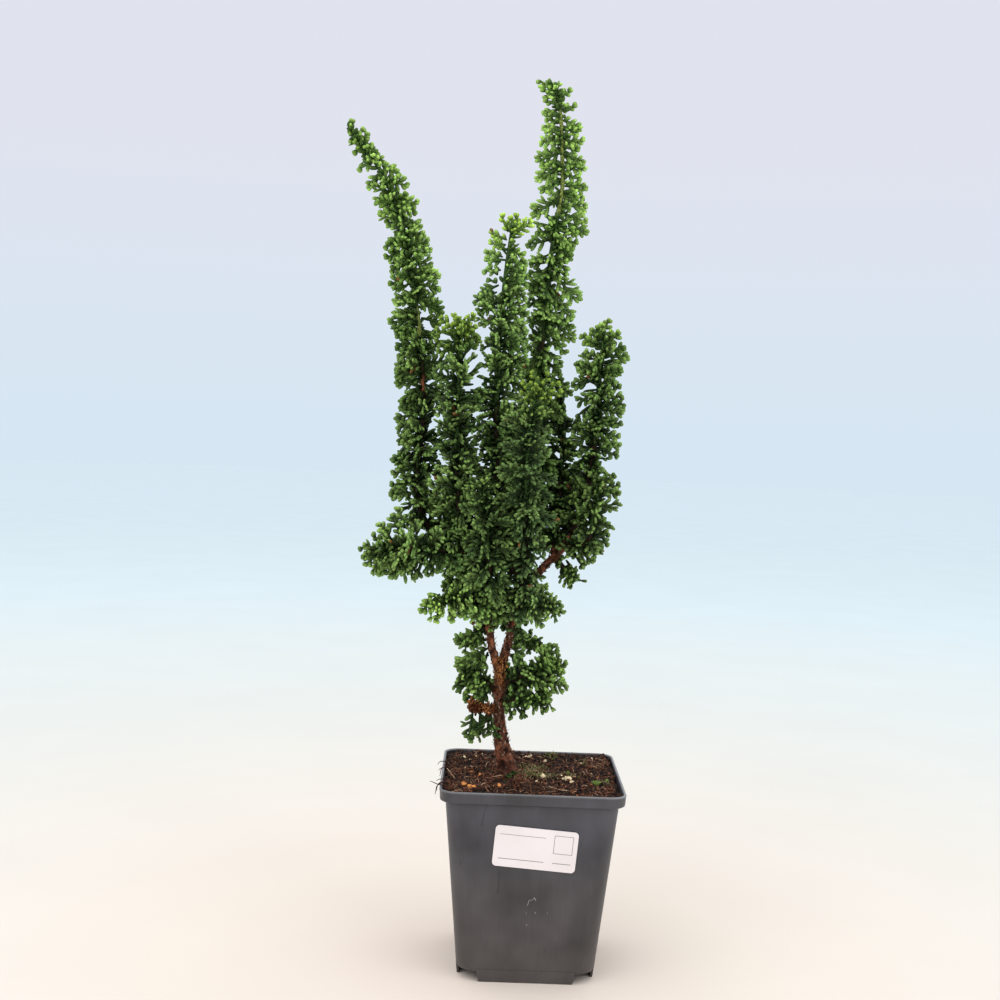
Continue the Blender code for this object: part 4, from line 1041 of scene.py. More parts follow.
def add_flakes(flakes, points, frames, radii, share, rng):
    """Loose flakes of bark and thin spikes on a limb, so many for each of its points."""
    for _ in range(int(len(points) * share)):
        i = rng.randrange(len(points))
        along, across, over = frames[i]
        ray = around(across, over, rng.uniform(0, math.tau))
        at = points[i].xyz + ray * radii[i] * FLAKE_DEPTH
        way = along * rng.choice((-1, 1, 1)) + spread(rng, FLAKE_TURN)
        aim = unit(way + ray * rng.uniform(*FLAKE_RISE))
        dry = max(0.0, 1 - abs(points[i].z - FORK_HEIGHT) / FLAKE_ORANGE_REACH) * rng.random()
        tone = BARK_DARK.lerp(BARK_TAN, rng.random() ** 1.4).lerp(CHIP_ORANGE, min(1, dry * 1.4))
        # Flakes low on the trunk are darker
        tone *= FLAKE_DARK_SHARE if points[i].z < FLAKE_DARK_TOP else 1
        size = rng.uniform(*FLAKE_LENGTH), rng.uniform(*FLAKE_WIDTH)
        # A flake's base, at half its colour, is painted shade
        flakes.add(at, aim, ray.cross(aim), *size, tone * 0.5, tone)
        if rng.random() < SPIKE_SHARE:
            spike = unit(ray + along * rng.uniform(0.2, 1.2))
            size = rng.uniform(*SPIKE_LENGTH), SPIKE_WIDTH
            flakes.add(at, spike, ray.cross(spike), *size, BARK_DARK, BARK_RED)


def build_trunk(material):
    """The trunk and its limbs with flaking bark, and orange bits in the fork."""
    rng = random.Random("bark")
    noise.seed_set(BARK_SEED)
    cloud, flakes = Cloud(), Twigs()
    for name, route in WOOD.items():
        points = smooth_curve(route, WOOD_STEP)
        is_trunk = name == "trunk"
        radii, colours = [], []
        for point in points:
            flare = max(0.0, 1 - abs(point.z - FLARE_HEIGHT) / FLARE_RUN) if is_trunk else 0
            radii.append(point.w * (1 + FLARE * flare))
            red = held((point.z - RED_FROM) / RED_RUN)
            # Darker towards the foot of the trunk
            foot_darkening = held((DARK_FOOT_TOP - point.z) / DARK_FOOT_RUN)
            orange = max(0.0, 1 - abs(point.z - FORK_HEIGHT) / FORK_REACH)
            tone = BARK_RED.lerp(BARK_DARK, RED_LEAST - RED_SHARE * red + DARK_FOOT_SHARE * foot_darkening)
            colours.append(tone.lerp(CHIP_ORANGE, FORK_SHARE * orange))
        sides = TRUNK_SIDES if is_trunk else LIMB_SIDES
        add_tube(cloud, [p.xyz for p in points], radii, colours, sides, bark_bump)
        share = TRUNK_FLAKES if is_trunk else LIMB_FLAKES
        add_flakes(flakes, points, stem_frames(points), radii, share, rng)
    for _ in range(FORK_BITS):
        at = FORK_LOW.lerp(FORK_HIGH, rng.random())
        at += Vector((rng.gauss(0, FORK_BIT_SPREAD), FORK_BIT_FRONT - rng.uniform(0, 0.5), 0))
        aim = unit(spread(rng) + Vector((0, -0.5, 0.2)))
        tone = DRY_DARK.lerp(CHIP_ORANGE, rng.random())
        length, width = (rng.uniform(*size) for size in FORK_BIT_SIZE)
        # Each bit's base, at half its colour, is painted shade
        flakes.add(at, aim, aim.orthogonal(), length, width, tone * 0.5, tone)
    flakes.fill(cloud, FLAKE_THICKNESS)
    piece("bark_wood", cloud.mesh("bark_wood"), material, "bark", "trunk")


def build_dry_tuft(material):
    """The dead spray: crumpled brown leaves round a bent stem and along the stub."""
    rng = random.Random("dry")
    cloud, twigs = Cloud(), Twigs()
    points = smooth_curve(DRY_TUFT, DRY_STEP)
    turn = 0.0
    for point, (along, across, over) in zip(points, stem_frames(points)):
        for _ in range(DRY_LEAVES):
            turn += GOLDEN_ANGLE
            radial = around(across, over, turn)
            aim = unit(radial + along * rng.uniform(-0.2, 0.9) + spread(rng, 0.5))
            start = point.xyz + radial * point.w * rng.uniform(0.0, 0.45)
            # Leaves facing up are lighter and those facing down darker: painted light and shade
            tone = DRY_DARK.lerp(DRY_LIGHT, rng.random() ** 2 * min(1, max(0.1, 0.6 + radial.z)))
            length = min(point.w * 0.55, rng.uniform(*DRY_LENGTH))
            # A leaf's base, at a third of its colour, is painted shade
            twigs.add(start, aim, aim.orthogonal(), length, rng.uniform(*DRY_WIDTH), tone * 0.35, tone)
    for _ in range(STUB_BITS):
        start = STUB_START.lerp(STUB_END, rng.random()) + spread(rng, STUB_SPREAD)
        aim = unit(spread(rng) + Vector((-0.3, -0.6, 0)))
        tone = DRY_DARK.lerp(DRY_LIGHT, rng.random() ** 2)
        size = rng.uniform(*STUB_LENGTH), rng.uniform(*DRY_WIDTH)
        # A bit's base, at under a third of its colour, is painted shade
        twigs.add(start, aim, aim.orthogonal(), *size, tone * 0.3, tone)
    twigs.fill(cloud, DRY_THICKNESS)
    count = len(points)
    add_tube(cloud, [p.xyz for p in points], [DRY_STEM] * count, [DRY_DARK] * count, AXIS_SIDES)
    piece("dead_spray", cloud.mesh("dead_spray"), material, "dry_foliage", "dry_tuft")


def body_half(z):
    """The tapered body's outer half width at a height."""
    return (FOOT_WIDTH + (BODY_TOP_WIDTH - FOOT_WIDTH) * z / (POT_HEIGHT - RIM_BAND)) / 2


def body_corner(z):
    return FOOT_CORNER + (RIM_CORNER - FOOT_CORNER) * z / POT_HEIGHT


def rounded_outline(half_x, half_y, corner, steps):
    """Points of a rectangle with round corners, counter-clockwise."""
    points = []
    for quarter in range(4):
        middle = math.pi / 4 + quarter * math.pi / 2
        x = math.copysign(half_x - corner, math.cos(middle))
        y = math.copysign(half_y - corner, math.sin(middle))
        for step in range(steps + 1):
            angle = quarter * math.pi / 2 + step * math.pi / 2 / steps
            points.append((x + corner * math.cos(angle), y + corner * math.sin(angle)))
    return points


def skin(bm, rings, *ends):
    """Faces between rings of as many vertices each, and one face over each end."""
    for low, high in zip(rings, rings[1:]):
        for i in range(len(low)):
            j = (i + 1) % len(low)
            bm.faces.new((low[i], low[j], high[j], high[i]))
    for end in ends:
        bm.faces.new(end)


def plain_mesh(name, bm, sharp):
    """A smooth mesh in metres whose edges over an angle in degrees are sharp."""
    for vertex in bm.verts:
        vertex.co = (vertex.co + POT_OFFSET) * MM
    bmesh.ops.recalc_face_normals(bm, faces=bm.faces)
    mesh = bpy.data.meshes.new(name)
    bm.to_mesh(mesh)
    bm.free()
    mesh.shade_smooth()
    mesh.set_sharp_from_angle(angle=math.radians(sharp))
    return mesh


def temporary(name, bm):
    mesh = bpy.data.meshes.new(name)
    bm.to_mesh(mesh)
    bm.free()
    return add_object(name, mesh)


def drilled(bm, floor):
    """The pot's wall and floor with the four drain holes cut through the floor."""
    wall = temporary("wall", bm)
    for x, y in ((-1, -1), (1, -1), (1, 1), (-1, 1)):
        tool = bmesh.new()
        place = Matrix.Translation((x * DRAIN_OFFSET, y * DRAIN_OFFSET, floor))
        bmesh.ops.create_cone(
            tool, cap_ends=True, segments=DRAIN_SIDES, radius1=DRAIN_RADIUS, radius2=DRAIN_RADIUS,
            depth=4 * WALL, matrix=place,
        )
        cutter = temporary("drain", tool)
        modifier = wall.modifiers.new("drain", "BOOLEAN")
        modifier.operation = "DIFFERENCE"
        modifier.object = cutter
        graph = bpy.context.evaluated_depsgraph_get()
        made = bpy.data.meshes.new_from_object(wall.evaluated_get(graph))
        wall.modifiers.clear()
        wall.data = made
        bpy.data.objects.remove(cutter, do_unlink=True)
    cut = bmesh.new()
    cut.from_mesh(wall.data)
    bpy.data.objects.remove(wall, do_unlink=True)
    return cut


def pot_sections():
    """The pot's wall from the middle of its foot over the lip to its floor: half width, corner and height."""
    rim, foot, band = RIM_WIDTH / 2, SKIRT_HEIGHT, POT_HEIGHT - RIM_BAND
    ledge, floor = band + WALL, SKIRT_HEIGHT + WALL
    sections = [(body_half(foot) - inset, FOOT_CORNER - inset, foot + rise) for inset, rise in FOOT_ROUNDING]
    sections.append((body_half(foot + WALL_START), FOOT_CORNER, foot + WALL_START))
    sections += [(body_half(band - fall), body_corner(band), band - fall) for fall in WALL_ENDS]
    sections.append((body_half(band) + STEP_OUT, body_corner(band), band))
    sections += [(rim - inset, RIM_CORNER, band + rise) for inset, rise in BAND_PROFILE]
    for k in range(LIP_STEPS + 1):
        angle = math.pi * k / LIP_STEPS
        out, up = LIP * math.cos(angle), LIP * math.sin(angle)
        sections.append((rim - LIP + out, RIM_CORNER - LIP, POT_HEIGHT - LIP + up))
    sections += [(rim - WALL, RIM_CORNER - WALL, z) for z in (POT_HEIGHT - 2 * LIP, ledge + LEDGE_RISE)]
    sections.append((body_half(ledge) - WALL, body_corner(ledge) - WALL, ledge))
    sections.append((body_half(floor) - WALL, FOOT_CORNER - WALL, floor))
    return sections


def build_pot(material):
    """The pot's wall with its rolled lip and step, its floor and the four skirts it stands on."""
    bm = bmesh.new()
    loops = [
        [bm.verts.new((x, y, z)) for x, y in rounded_outline(half, half, corner, CORNER_STEPS)]
        for half, corner, z in pot_sections()
    ]
    skin(bm, loops, loops[0], loops[-1])
    bmesh.ops.recalc_face_normals(bm, faces=bm.faces)
    bm = drilled(bm, SKIRT_HEIGHT)
    for turn in range(4):
        spin = Matrix.Rotation(turn * math.pi / 2, 4, "Z")
        rings = []
        for z, cut, proud in SKIRT_PROFILE:
            reach, front = SKIRT_LENGTH / 2 - cut, body_half(z) + proud
            corners = ((-reach, -front), (reach, -front), (reach, WALL - front), (-reach, WALL - front))
            rings.append([bm.verts.new(spin @ Vector((x, y, z))) for x, y in corners])
        skin(bm, rings, rings[0], rings[-1])
    piece("pot_shell", plain_mesh("pot_shell", bm, 35), material, "pot", "pot")


def build_label(material):
    """A thin plate with round corners on the pot's sloping front; its map runs in millimetres."""
    width, height, thickness = LABEL_SIZE
    bm = bmesh.new()
    outline = rounded_outline(width / 2, height / 2, LABEL_CORNER, LABEL_CORNER_STEPS)
    low, high = ([bm.verts.new((x, y, side * thickness / 2)) for x, y in outline] for side in (-1, 1))
    skin(bm, (low, high), low, high)
    layer = bm.loops.layers.uv.new("millimetres")
    for face in bm.faces:
        for loop in face.loops:
            loop[layer].uv = loop.vert.co.xy
    x, z = LABEL_CENTRE
    slope = math.atan2(body_half(POT_HEIGHT) - body_half(0), POT_HEIGHT)
    facing = Quaternion((1, 0, 0), math.pi / 2 + slope)
    place = Vector((x, -body_half(z), z)) + facing @ (UP * (GAP + thickness / 2))
    turn = Matrix.Translation(place) @ (facing @ Quaternion(UP, LABEL_TILT)).to_matrix().to_4x4()
    bmesh.ops.transform(bm, matrix=turn, verts=bm.verts)
    piece("blank_label", plain_mesh("blank_label", bm, 30), material, "label", "label")


def soil_bank(y):
    """How much the peat rises to the back."""
    return SOIL_BANK * max(0, y - SOIL_BANK_FROM) / SOIL_BANK_RUN


def on_soil(x, y, lift=0.0):
    """A place on the peat: a low mound round the trunk, a bank at the back and raised crumbs."""
    away = math.hypot(x - TRUNK_FOOT[0], y - TRUNK_FOOT[1])
    mound = SOIL_MOUND * math.exp(-((away / SOIL_MOUND_SPREAD) ** 2))
    crumb = sum(noise.noise(Vector((x, y, 0)) / grain) * rise for grain, rise in SOIL_GRAINS)
    return Vector((x, y, SOIL_LEVEL + mound + soil_bank(y) + crumb + lift))


def onto_rounded(u, v, half, corner):
    """Carries a place in the unit square into a square with round corners."""
    x, y = u * half, v * half
    over_x, over_y = abs(x) - (half - corner), abs(y) - (half - corner)
    if over_x > 0 and over_y > 0:
        away = math.hypot(over_x, over_y)
        pull = max(over_x, over_y) / away
        x = math.copysign(half - corner + over_x * pull, x)
        y = math.copysign(half - corner + over_y * pull, y)
    return x, y


def any_place(rng):
    """A random place on the peat."""
    half = RIM_WIDTH / 2 - WALL - SOIL_MARGIN
    return on_soil(*onto_rounded(rng.uniform(-1, 1), rng.uniform(-1, 1), half, RIM_CORNER))


def build_soil(material):
    """The root ball: a rough top sheet closed by the walls and the floor inside the pot."""
    inset = WALL + GAP
    top_half, top_corner = RIM_WIDTH / 2 - inset, RIM_CORNER - WALL
    cloud, cells, row = Cloud(), SOIL_CELLS, SOIL_CELLS + 1
    points, tones = [], []
    for j in range(row):
        for i in range(row):
            place = on_soil(*onto_rounded(2 * i / cells - 1, 2 * j / cells - 1, top_half, top_corner))
            points.append(tuple(place))
            # How far the peat stands out of its hollows: lower peat fades to PEAT_DARK as painted shade
            dry = held((place.z - soil_bank(place.y) - SOIL_LEVEL - PEAT_LIT_FROM) / PEAT_LIT_RUN) ** PEAT_LIT_CURVE
            spots = noise.noise(Vector((place.x, place.y, 3)) / SPOT_SIZE)
            shade = max(SPOT_LEAST, SPOT_TONE + SPOT_CONTRAST * spots)
            tones.append(tuple(PEAT_DARK.lerp(PEAT_BROWN, dry) * shade))
    quads = [
        (j * row + i, j * row + i + 1, (j + 1) * row + i + 1, (j + 1) * row + i)
        for j in range(cells) for i in range(cells)
    ]
    edge = list(range(cells)) + [j * row + cells for j in range(cells)]
    edge += [cells * row + i for i in range(cells, 0, -1)] + [j * row for j in range(cells, 0, -1)]
    ledge = POT_HEIGHT - RIM_BAND + WALL + GAP
    levels = [(top_half, top_corner, ledge + LEDGE_RISE)]
    for z in (ledge, SKIRT_HEIGHT + WALL + GAP):
        levels.append((body_half(z) - inset, body_corner(z) - inset, z))
    above = edge
    for half, corner, z in levels:
        here = list(range(len(points), len(points) + len(edge)))
        for index in edge:
            u, v = 2 * (index % row) / cells - 1, 2 * (index // row) / cells - 1
            points.append((*onto_rounded(u, v, half, corner), z))
            # The root ball's sides and floor inside the pot take the darkest peat: painted shade
            tones.append(tuple(PEAT_DARK))
        for k in range(len(edge)):
            m = (k + 1) % len(edge)
            quads.append((here[k], here[m], above[m], above[k]))
        above = here
    cloud.add(points, tones, quads, [tuple(reversed(above))])
    scatter_litter(cloud)
    piece("peat", cloud.mesh("peat"), material, "soil", "soil")


def crumb_faces():
    """The triangles between the corners of a crumb, found as the flat hull of its points."""
    bm = bmesh.new()
    for p in CRUMB_POINTS:
        bm.verts.new(p)
    bm.verts.index_update()
    bmesh.ops.convex_hull(bm, input=bm.verts)
    bmesh.ops.triangulate(bm, faces=bm.faces)
    bmesh.ops.recalc_face_normals(bm, faces=bm.faces)
    faces = [tuple(v.index for v in face.verts) for face in bm.faces]
    bm.free()
    return faces


def add_crumb(cloud, faces, place, size, tone, rng, flatness=0.75):
    """An uneven lump, turned at random and pressed flat."""
    turn = Quaternion(unit(spread(rng) + UP * 0.01), rng.uniform(0, math.tau))
    stretch = Vector((rng.uniform(0.7, 1.3), rng.uniform(0.7, 1.3), rng.uniform(0.5, 1.0)))
    points, tones = [], []
    for p in CRUMB_POINTS:
        q = turn @ (p * stretch) * rng.uniform(0.65, 1.2)
        points.append(tuple(place + Vector((q.x, q.y, q.z * flatness)) * size))
        tones.append(tuple(tone * rng.uniform(0.75, 1.25)))
    cloud.add(points, tones, faces)


def add_fibre(cloud, start, aim, length, radius, tone, rng, sag, steps=6):
    """A thin bent root or straw."""
    points, radii, colours = [], [], []
    p, aim = Vector(start), unit(aim)
    for k in range(steps + 1):
        points.append(tuple(p))
        radii.append(radius * (1 - 0.6 * k / steps))
        colours.append(tone * (0.75 + 0.4 * k / steps))
        aim = unit(aim + spread(rng, 0.35) + DOWN * sag * k / steps)
        p = p + aim * length / steps
    add_tube(cloud, points, radii, colours, 5)


def scatter_crumbs(cloud, faces, rng):
    """Peat crumbs all over, the grit and chips that the photo shows, and small bits beside those."""
    for _ in range(CRUMBS):
        place = any_place(rng)
        pick = rng.random()
        tone = PEAT_DARK.lerp(PEAT_BROWN, 1.6 * rng.random() ** 1.3)
        if pick < CRUMB_RED:
            tone = FIBRE_RED * rng.uniform(0.7, 1.1)
        elif pick < CRUMB_TAN:
            tone = FIBRE_TAN * rng.uniform(0.5, 1.1)
        elif pick < CRUMB_CHIP:
            tone = CHIP_ORANGE * rng.uniform(0.5, 0.9)
        size = rng.uniform(*CRUMB_SIZE) * (0.6 if pick < CRUMB_CHIP else 1)
        add_crumb(cloud, faces, place, size, tone, rng)
    for x, y, size, tone in GRIT:
        add_crumb(cloud, faces, on_soil(x, y, size * 0.3), size * 0.85, tone, rng, 0.85)
        for _ in range(2):
            at = on_soil(x + rng.uniform(-3, 3), y + rng.uniform(-3, 3), 0.2)
            add_crumb(cloud, faces, at, rng.uniform(0.3, 0.6), tone * 0.8, rng)


def scatter_fibres(cloud, rng):
    """Fibres all over, the straws that the photo shows and the roots that hang over the left rim."""
    for _ in range(FIBRES):
        place = any_place(rng)
        aim = any_way(rng)
        aim.z = rng.choice(FIBRE_RISES)
        tone = FIBRE_RED.lerp(FIBRE_TAN, rng.random() ** 2) * rng.uniform(0.25, 1.5)
        length = rng.uniform(*FIBRE_LENGTH) * (1 if aim.z < 0.3 else 0.5)
        if max(abs(place.x + aim.x * length), abs(place.y + aim.y * length)) > RIM_WIDTH / 2 - 2.2:
            aim.x, aim.y = -aim.x, -aim.y
        add_fibre(cloud, place + UP * 0.3, aim, length, rng.uniform(*FIBRE_RADIUS), tone, rng, 0.5)
    for x, y, dx, dy, length, radius, tone in STRAWS:
        upright = 1.0 if abs(dx) < 1 else 0.02
        aim = unit(Vector((dx, dy, 0))) + UP * (upright * 4)
        add_fibre(cloud, on_soil(x, y, 0.5), aim, length, radius, tone, rng, 0.05)
    for x, y, z, dx, dy, dz, length in RIM_ROOTS:
        root = Vector((x + RIM_ROOT_START, y - dy * 3, RIM_ROOT_SOIL))
        inner, outer = RIM_ROOT_RADII
        add_fibre(cloud, root, Vector((x, y, z)) - root, 5.2, inner, FIBRE_RED * 0.5, rng, 0)
        add_fibre(cloud, (x, y, z + 0.7), Vector((dx, dy, dz)), length, outer, BARK_DARK, rng, 0.45)


def scatter_litter(cloud):
    """Crumbs, grit, chips, straws and roots on the peat, the larger ones where the photo shows them."""
    rng = random.Random("litter")
    faces = crumb_faces()
    scatter_crumbs(cloud, faces, rng)
    scatter_fibres(cloud, rng)
    x, y = DARK_CLUMP
    across, along = CLUMP_SPREAD
    for _ in range(CLUMP_CRUMBS):
        place = on_soil(x + rng.gauss(0, across), y + rng.gauss(0, along), rng.uniform(0, 1.4))
        size = rng.uniform(0.5, 1.2)
        add_crumb(cloud, faces, place, size, BARK_DARK.lerp(FIBRE_RED, 0.5 * rng.random() ** 2), rng)
    for x, y, half_x, half_y in FIBRE_PATCHES:
        for _ in range(PATCH_FIBRES):
            aim = any_way(rng)
            aim.z = rng.uniform(0.05, 0.5)
            start = on_soil(x + rng.uniform(-half_x, half_x), y + rng.uniform(-half_y, half_y), 0.4)
            tone = FIBRE_RED.lerp(FIBRE_TAN, rng.random() ** 4) * rng.uniform(0.4, 1.0)
            add_fibre(cloud, start, aim, rng.uniform(2.5, 6.0), rng.uniform(0.12, 0.26), tone, rng, 0.5)


def build_greenery(material):
    """Moss beside the trunk, a fallen sprig before it and small weeds."""
    rng = random.Random("moss")
    cloud, blades = Cloud(), Twigs()
    for x, y, size, count, tone in MOSS_PATCHES:
        for _ in range(count):
            place = on_soil(x + rng.gauss(0, size / 2), y + rng.gauss(0, size / 2), -0.2)
            if max(abs(place.x), abs(place.y)) > RIM_WIDTH / 2 - 3:
                continue
            aim = unit(spread(rng, 0.9) + UP)
            shade = tone.lerp(FIBRE_TAN, rng.random() ** 4) * rng.uniform(0.45, 1.2)
            side = spread(rng) + aim.orthogonal() * 2
            blade = rng.uniform(*MOSS_LENGTH), rng.uniform(*MOSS_WIDTH)
            # A blade's base, at 0.4 of its colour, is painted shade
            blades.add(place, aim, side, *blade, shade * 0.4, shade)
    for x, y, leaves, size in WEEDS:
        for _ in range(leaves):
            root = on_soil(x + rng.uniform(-1, 1), y + rng.uniform(-1, 1), 0.2)
            aim = any_way(rng)
            aim.z = rng.uniform(0.3, 1.3)
            aim = unit(aim)
            tone = WEED_GREEN * rng.uniform(0.7, 1.2)
            length = size * rng.uniform(0.8, 1.3)
            # A leaf's base, at 0.6 of its colour, is painted shade
            blades.add(root, aim, aim.cross(UP), length, WEED_WIDTH, tone * 0.6, tone)
    for k in range(SPRIG_PAIRS):
        x, y = (foot + k * step for foot, step in zip(SPRIG_FOOT, SPRIG_STEP))
        high = LEAF_GREEN * rng.uniform(0.6, 0.9)
        for side in (-1, 1):
            aim = unit(Vector((1.0, -0.6 + 1.3 * side, 0.25)))
            # Each sprig leaf's base takes the shade green: painted shade
            blades.add(on_soil(x, y, 0.6), aim, Vector((0.6, -1, 0)), *SPRIG_LEAF, SHADE_GREEN, high)
    blades.keep_inside()
    blades.fill(cloud, MOSS_THICKNESS)
    piece("moss_and_weeds", cloud.mesh("moss_and_weeds"), material, "foliage")


def set_ramp(colour_ramp, stops):
    """Gives a colour ramp its (place, colour) stops; the first two are the ones it has."""
    for k, (place, colour) in enumerate(stops):
        stop = colour_ramp.elements[k] if k < 2 else colour_ramp.elements.new(place)
        stop.position, stop.color = place, (*colour, 1)


class Matter:
    """A material with short ways to add nodes; each gives the new node's main output."""

    def __init__(self, name, roughness, specular=0.5):
        self.material = bpy.data.materials.new(name)
        self.material.use_nodes = True
        self.tree = self.material.node_tree
        self.shader = self.tree.nodes["Principled BSDF"]
        self.shader.inputs["Roughness"].default_value = roughness
        self.shader.inputs["Specular IOR Level"].default_value = specular
        self.place = self.node("TexCoord").outputs["Object"]

    def node(self, kind, inputs=(), **settings):
        made = self.tree.nodes.new("ShaderNode" + kind)
        for key, value in settings.items():
            setattr(made, key, value)
        for key, value in dict(inputs).items():
            if isinstance(value, bpy.types.NodeSocket):
                self.tree.links.new(value, made.inputs[key])
            else:
                made.inputs[key].default_value = value
        return made

    def maths(self, operation, *values):
        return self.node("Math", dict(enumerate(values)), operation=operation).outputs[0]

    def vector(self, operation, *values, output=0):
        return self.node("VectorMath", dict(enumerate(values)), operation=operation).outputs[output]

    def scaled(self, vector, share):
        return self.node("VectorMath", {0: vector, "Scale": share}, operation="SCALE").outputs[0]

    def noise(self, scale, detail, stretch=None):
        """Noise over the object, drawn out upwards by a small stretch."""
        place = self.place
        if stretch:
            place = self.node("Mapping", {"Vector": place, "Scale": (1, 1, stretch)}).outputs["Vector"]
        return self.node("TexNoise", {"Vector": place, "Scale": scale, "Detail": detail}).outputs["Fac"]

    def range(self, value, low, high, to_low, to_high):
        """A value between low and high carried to the same share between two others."""
        ends = {"From Min": low, "From Max": high, "To Min": to_low, "To Max": to_high}
        return self.node("MapRange", {"Value": value, **ends}).outputs["Result"]

    def ramp(self, factor, stops):
        made = self.node("ValToRGB", {"Fac": factor})
        set_ramp(made.color_ramp, stops)
        return made.outputs["Color"]

    def mix(self, share, first, second):
        return self.node("Mix", {0: share, 6: first, 7: second}, data_type="RGBA").outputs[2]

    def paint(self, colour, height=None, strength=0.0, distance=0.0):
        """Joins the colour, and a height for the bump, to the shader."""
        self.tree.links.new(colour, self.shader.inputs["Base Color"])
        if height:
            raised = self.node("Bump", {"Height": height, "Strength": strength, "Distance": distance})
            self.tree.links.new(raised.outputs["Normal"], self.shader.inputs["Normal"])
        return self.material


def tinted_material(name, roughness, grain, contrast, bump):
    """Colours from the mesh, made uneven by noise of a grain in millimetres, with a bump of that grain."""
    matter = Matter(name, roughness, 0.14)
    tone = matter.node("Attribute", attribute_name="tone").outputs["Color"]
    speckle = matter.noise(1 / (grain * MM), 2)
    shade = matter.range(speckle, 0.3, 0.7, 1 - contrast, 1 + contrast)
    return matter.paint(matter.scaled(tone, shade), speckle, bump, grain * MM * 0.3)


def leaf_material():
    """Rows of scale leaves: each one gets a painted highlight at its free tip and painted shade where it goes
    under the next.
    """
    matter = Matter("scale_leaves", 0.55, 0.12)
    tone = matter.node("Attribute", attribute_name="tone")
    uneven = matter.noise(1 / (0.8 * MM), 2)
    to_tip = matter.maths("MULTIPLY_ADD", uneven, 0.9, tone.outputs["Alpha"])
    phase = matter.maths("FRACT", matter.maths("DIVIDE", to_tip, LEAF_ROW))
    # Painted highlight at each scale leaf's tip, painted shade where it goes under the next
    row = matter.range(phase, 0.0, 1.0, 1.3, 0.60)
    shade = matter.maths("MULTIPLY", row, matter.range(uneven, 0.3, 0.7, 0.75, 1.25))
    return matter.paint(matter.scaled(tone.outputs["Color"], shade), shade, 0.5, 0.25 * MM)


def add_stroke(matter, start, end, width, strength):
    """How strong a soft stroke between two places on the pot's front is."""
    a, b = (Vector((x + POT_OFFSET.x, 0, z)) * MM for x, z in (start, end))
    flat = matter.vector("MULTIPLY", matter.place, (1, 0, 1))
    away = matter.vector("SUBTRACT", flat, tuple(a))
    share = matter.vector("DOT_PRODUCT", away, tuple((b - a) / (b - a).length_squared), output="Value")
    near = matter.scaled(tuple(b - a), matter.node("Clamp", {"Value": share}).outputs[0])
    left = matter.vector("DISTANCE", away, near, output="Value")
    return matter.range(left, 0.0, width * MM, strength, 0.0)


def add_strokes(matter, strokes, front):
    """The strongest of the strokes at each place of the pot's front."""
    strongest = add_stroke(matter, *strokes[0])
    for stroke in strokes[1:]:
        strongest = matter.maths("MAXIMUM", add_stroke(matter, *stroke), strongest)
    return matter.maths("MULTIPLY", strongest, front)


def pot_material():
    """Dark satin plastic with soft upright streaks, a fine grain, a few light and dark scratches and a painted
    highlight along its lip.
    """
    matter = Matter("dark_plastic", 0.42)
    streak = matter.noise(130, 3, 0.16)
    cloudy = matter.noise(38, 2)
    faint = matter.maths("MULTIPLY_ADD", streak, 0.5, 0.25)
    strong = matter.maths("MULTIPLY_ADD", cloudy, 1.7, -0.35)
    both = matter.maths("ADD", faint, strong)
    grain = matter.range(matter.noise(900, 2, 0.12), 0.3, 0.7, 0.95, 1.05)
    split = matter.node("SeparateXYZ", {0: matter.place})
    share = matter.range(split.outputs["Z"], 0.0, POT_HEIGHT * MM, 0.0, 1.0)
    shade = matter.maths("MULTIPLY", matter.range(both, 0.7, 1.3, 0.62, 1.4), grain)
    plastic = matter.scaled(matter.ramp(share, POT_TONES), shade)
    front = matter.range(split.outputs["Y"], (FRONT_FROM - FRONT_FADE) * MM, FRONT_FROM * MM, 1.0, 0.0)
    plastic = matter.mix(add_strokes(matter, DARK_SCRATCHES, front), plastic, SCRATCH_DARK)
    plastic = matter.mix(add_strokes(matter, LIGHT_SCRATCHES, front), plastic, SCRATCH_WHITE)
    rough = matter.range(both, 0.7, 1.3, 0.36, 0.52)
    matter.tree.links.new(rough, matter.shader.inputs["Roughness"])
    return matter.paint(plastic, streak, 0.12, 0.2 * MM)


def label_material():
    """White film with a trace of pink and a few ruled fields, on a map in millimetres."""
    matter = Matter("label_film", 0.38)
    split = matter.node("SeparateXYZ", {0: matter.node("UVMap", uv_map="millimetres").outputs["UV"]})
    across, up = split.outputs["X"], split.outputs["Y"]

    def box(x, y, half_x, half_y):
        beside, above = matter.maths("COMPARE", across, x, half_x), matter.maths("COMPARE", up, y, half_y)
        return matter.maths("MULTIPLY", beside, above)

    outside, inside = (box(*LABEL_SQUARE, half, half) for half in (LABEL_SQUARE_HALF, LABEL_SQUARE_INSIDE))
    marks = matter.maths("SUBTRACT", outside, inside)
    for rule in LABEL_RULES:
        marks = matter.maths("MAXIMUM", marks, box(*rule))
    return matter.paint(matter.mix(marks, matter.ramp(matter.noise(60, 1), LABEL_WHITES), LABEL_INK))


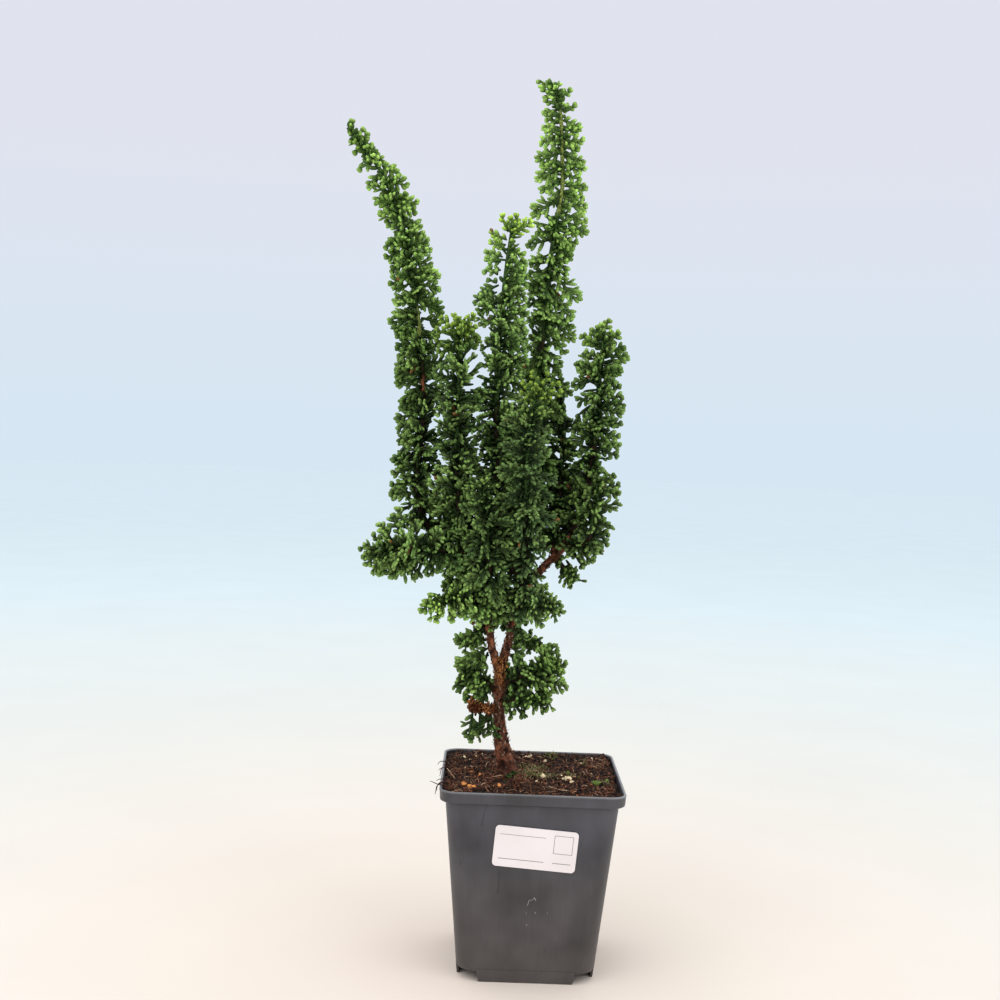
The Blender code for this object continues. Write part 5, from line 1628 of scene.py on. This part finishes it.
def stage_floor():
    """A wide round pale floor, warm near the pot with painted light that lifts the shadows round its foot, and
    cool far off, the same from all sides.
    """
    bm = bmesh.new()
    turns = [k * math.tau / FLOOR_SIDES for k in range(FLOOR_SIDES)]
    rings = [
        [bm.verts.new((radius * math.cos(turn), radius * math.sin(turn), 0)) for turn in turns]
        for radius in FLOOR_RINGS
    ]
    skin(bm, rings, rings[0])
    floor = temporary("floor", bm)
    matter = Matter("floor_paper", 0.9, 0.1)
    away = matter.vector("LENGTH", matter.place, output="Value")
    colour = matter.ramp(matter.range(away, 0.0, FLOOR_REACH, 0.0, 1.0), FLOOR_TONES)
    paper = matter.range(matter.noise(9, 2), 0.0, 1.0, 0.97, 1.03)
    floor.data.materials.append(matter.paint(matter.scaled(colour, paper)))


def light_scene():
    """Three soft lamps and a pale sky."""
    for name, (place, size, power) in LAMPS.items():
        light = bpy.data.lights.new(name, "AREA")
        light.shape = "SQUARE"
        light.size = size
        light.energy = power
        lamp = add_object(name, light)
        lamp.location = place
        lamp.rotation_euler = (LAMP_AIM - Vector(place)).to_track_quat("-Z", "Y").to_euler()
    world = bpy.data.worlds.new("studio")
    world.use_nodes = True
    tree = world.node_tree
    split = tree.nodes.new("ShaderNodeSeparateXYZ")
    tree.links.new(tree.nodes.new("ShaderNodeTexCoord").outputs["Generated"], split.inputs[0])
    colours = tree.nodes.new("ShaderNodeValToRGB")
    tree.links.new(split.outputs["Z"], colours.inputs["Fac"])
    set_ramp(colours.color_ramp, SKY_TONES)
    tree.links.new(colours.outputs["Color"], tree.nodes["Background"].inputs["Color"])
    bpy.context.scene.world = world


def place_camera():
    camera = add_object("camera", bpy.data.cameras.new("camera"))
    camera.data.lens = CAMERA_LENS
    camera.data.sensor_width = CAMERA_SENSOR
    camera.data.clip_start = CAMERA_NEAR * MM
    camera.location = (Vector(CAMERA_PLACE) + POT_OFFSET) * MM
    camera.rotation_euler = [math.radians(turn) for turn in CAMERA_TURN]
    bpy.context.scene.camera = camera


place_camera()
light_scene()
stage_floor()
bpy.context.scene.view_settings.view_transform = "Standard"
build_foliage(leaf_material())
build_trunk(tinted_material("flaking_bark", 0.72, 0.7, 0.4, 0.6))
build_dry_tuft(tinted_material("dry_leaves", 0.65, 0.8, 0.35, 0.4))
build_pot(pot_material())
build_label(label_material())
build_soil(tinted_material("damp_peat", 0.7, 0.8, 0.5, 0.7))
build_greenery(tinted_material("moss", 0.6, 0.6, 0.3, 0.3))
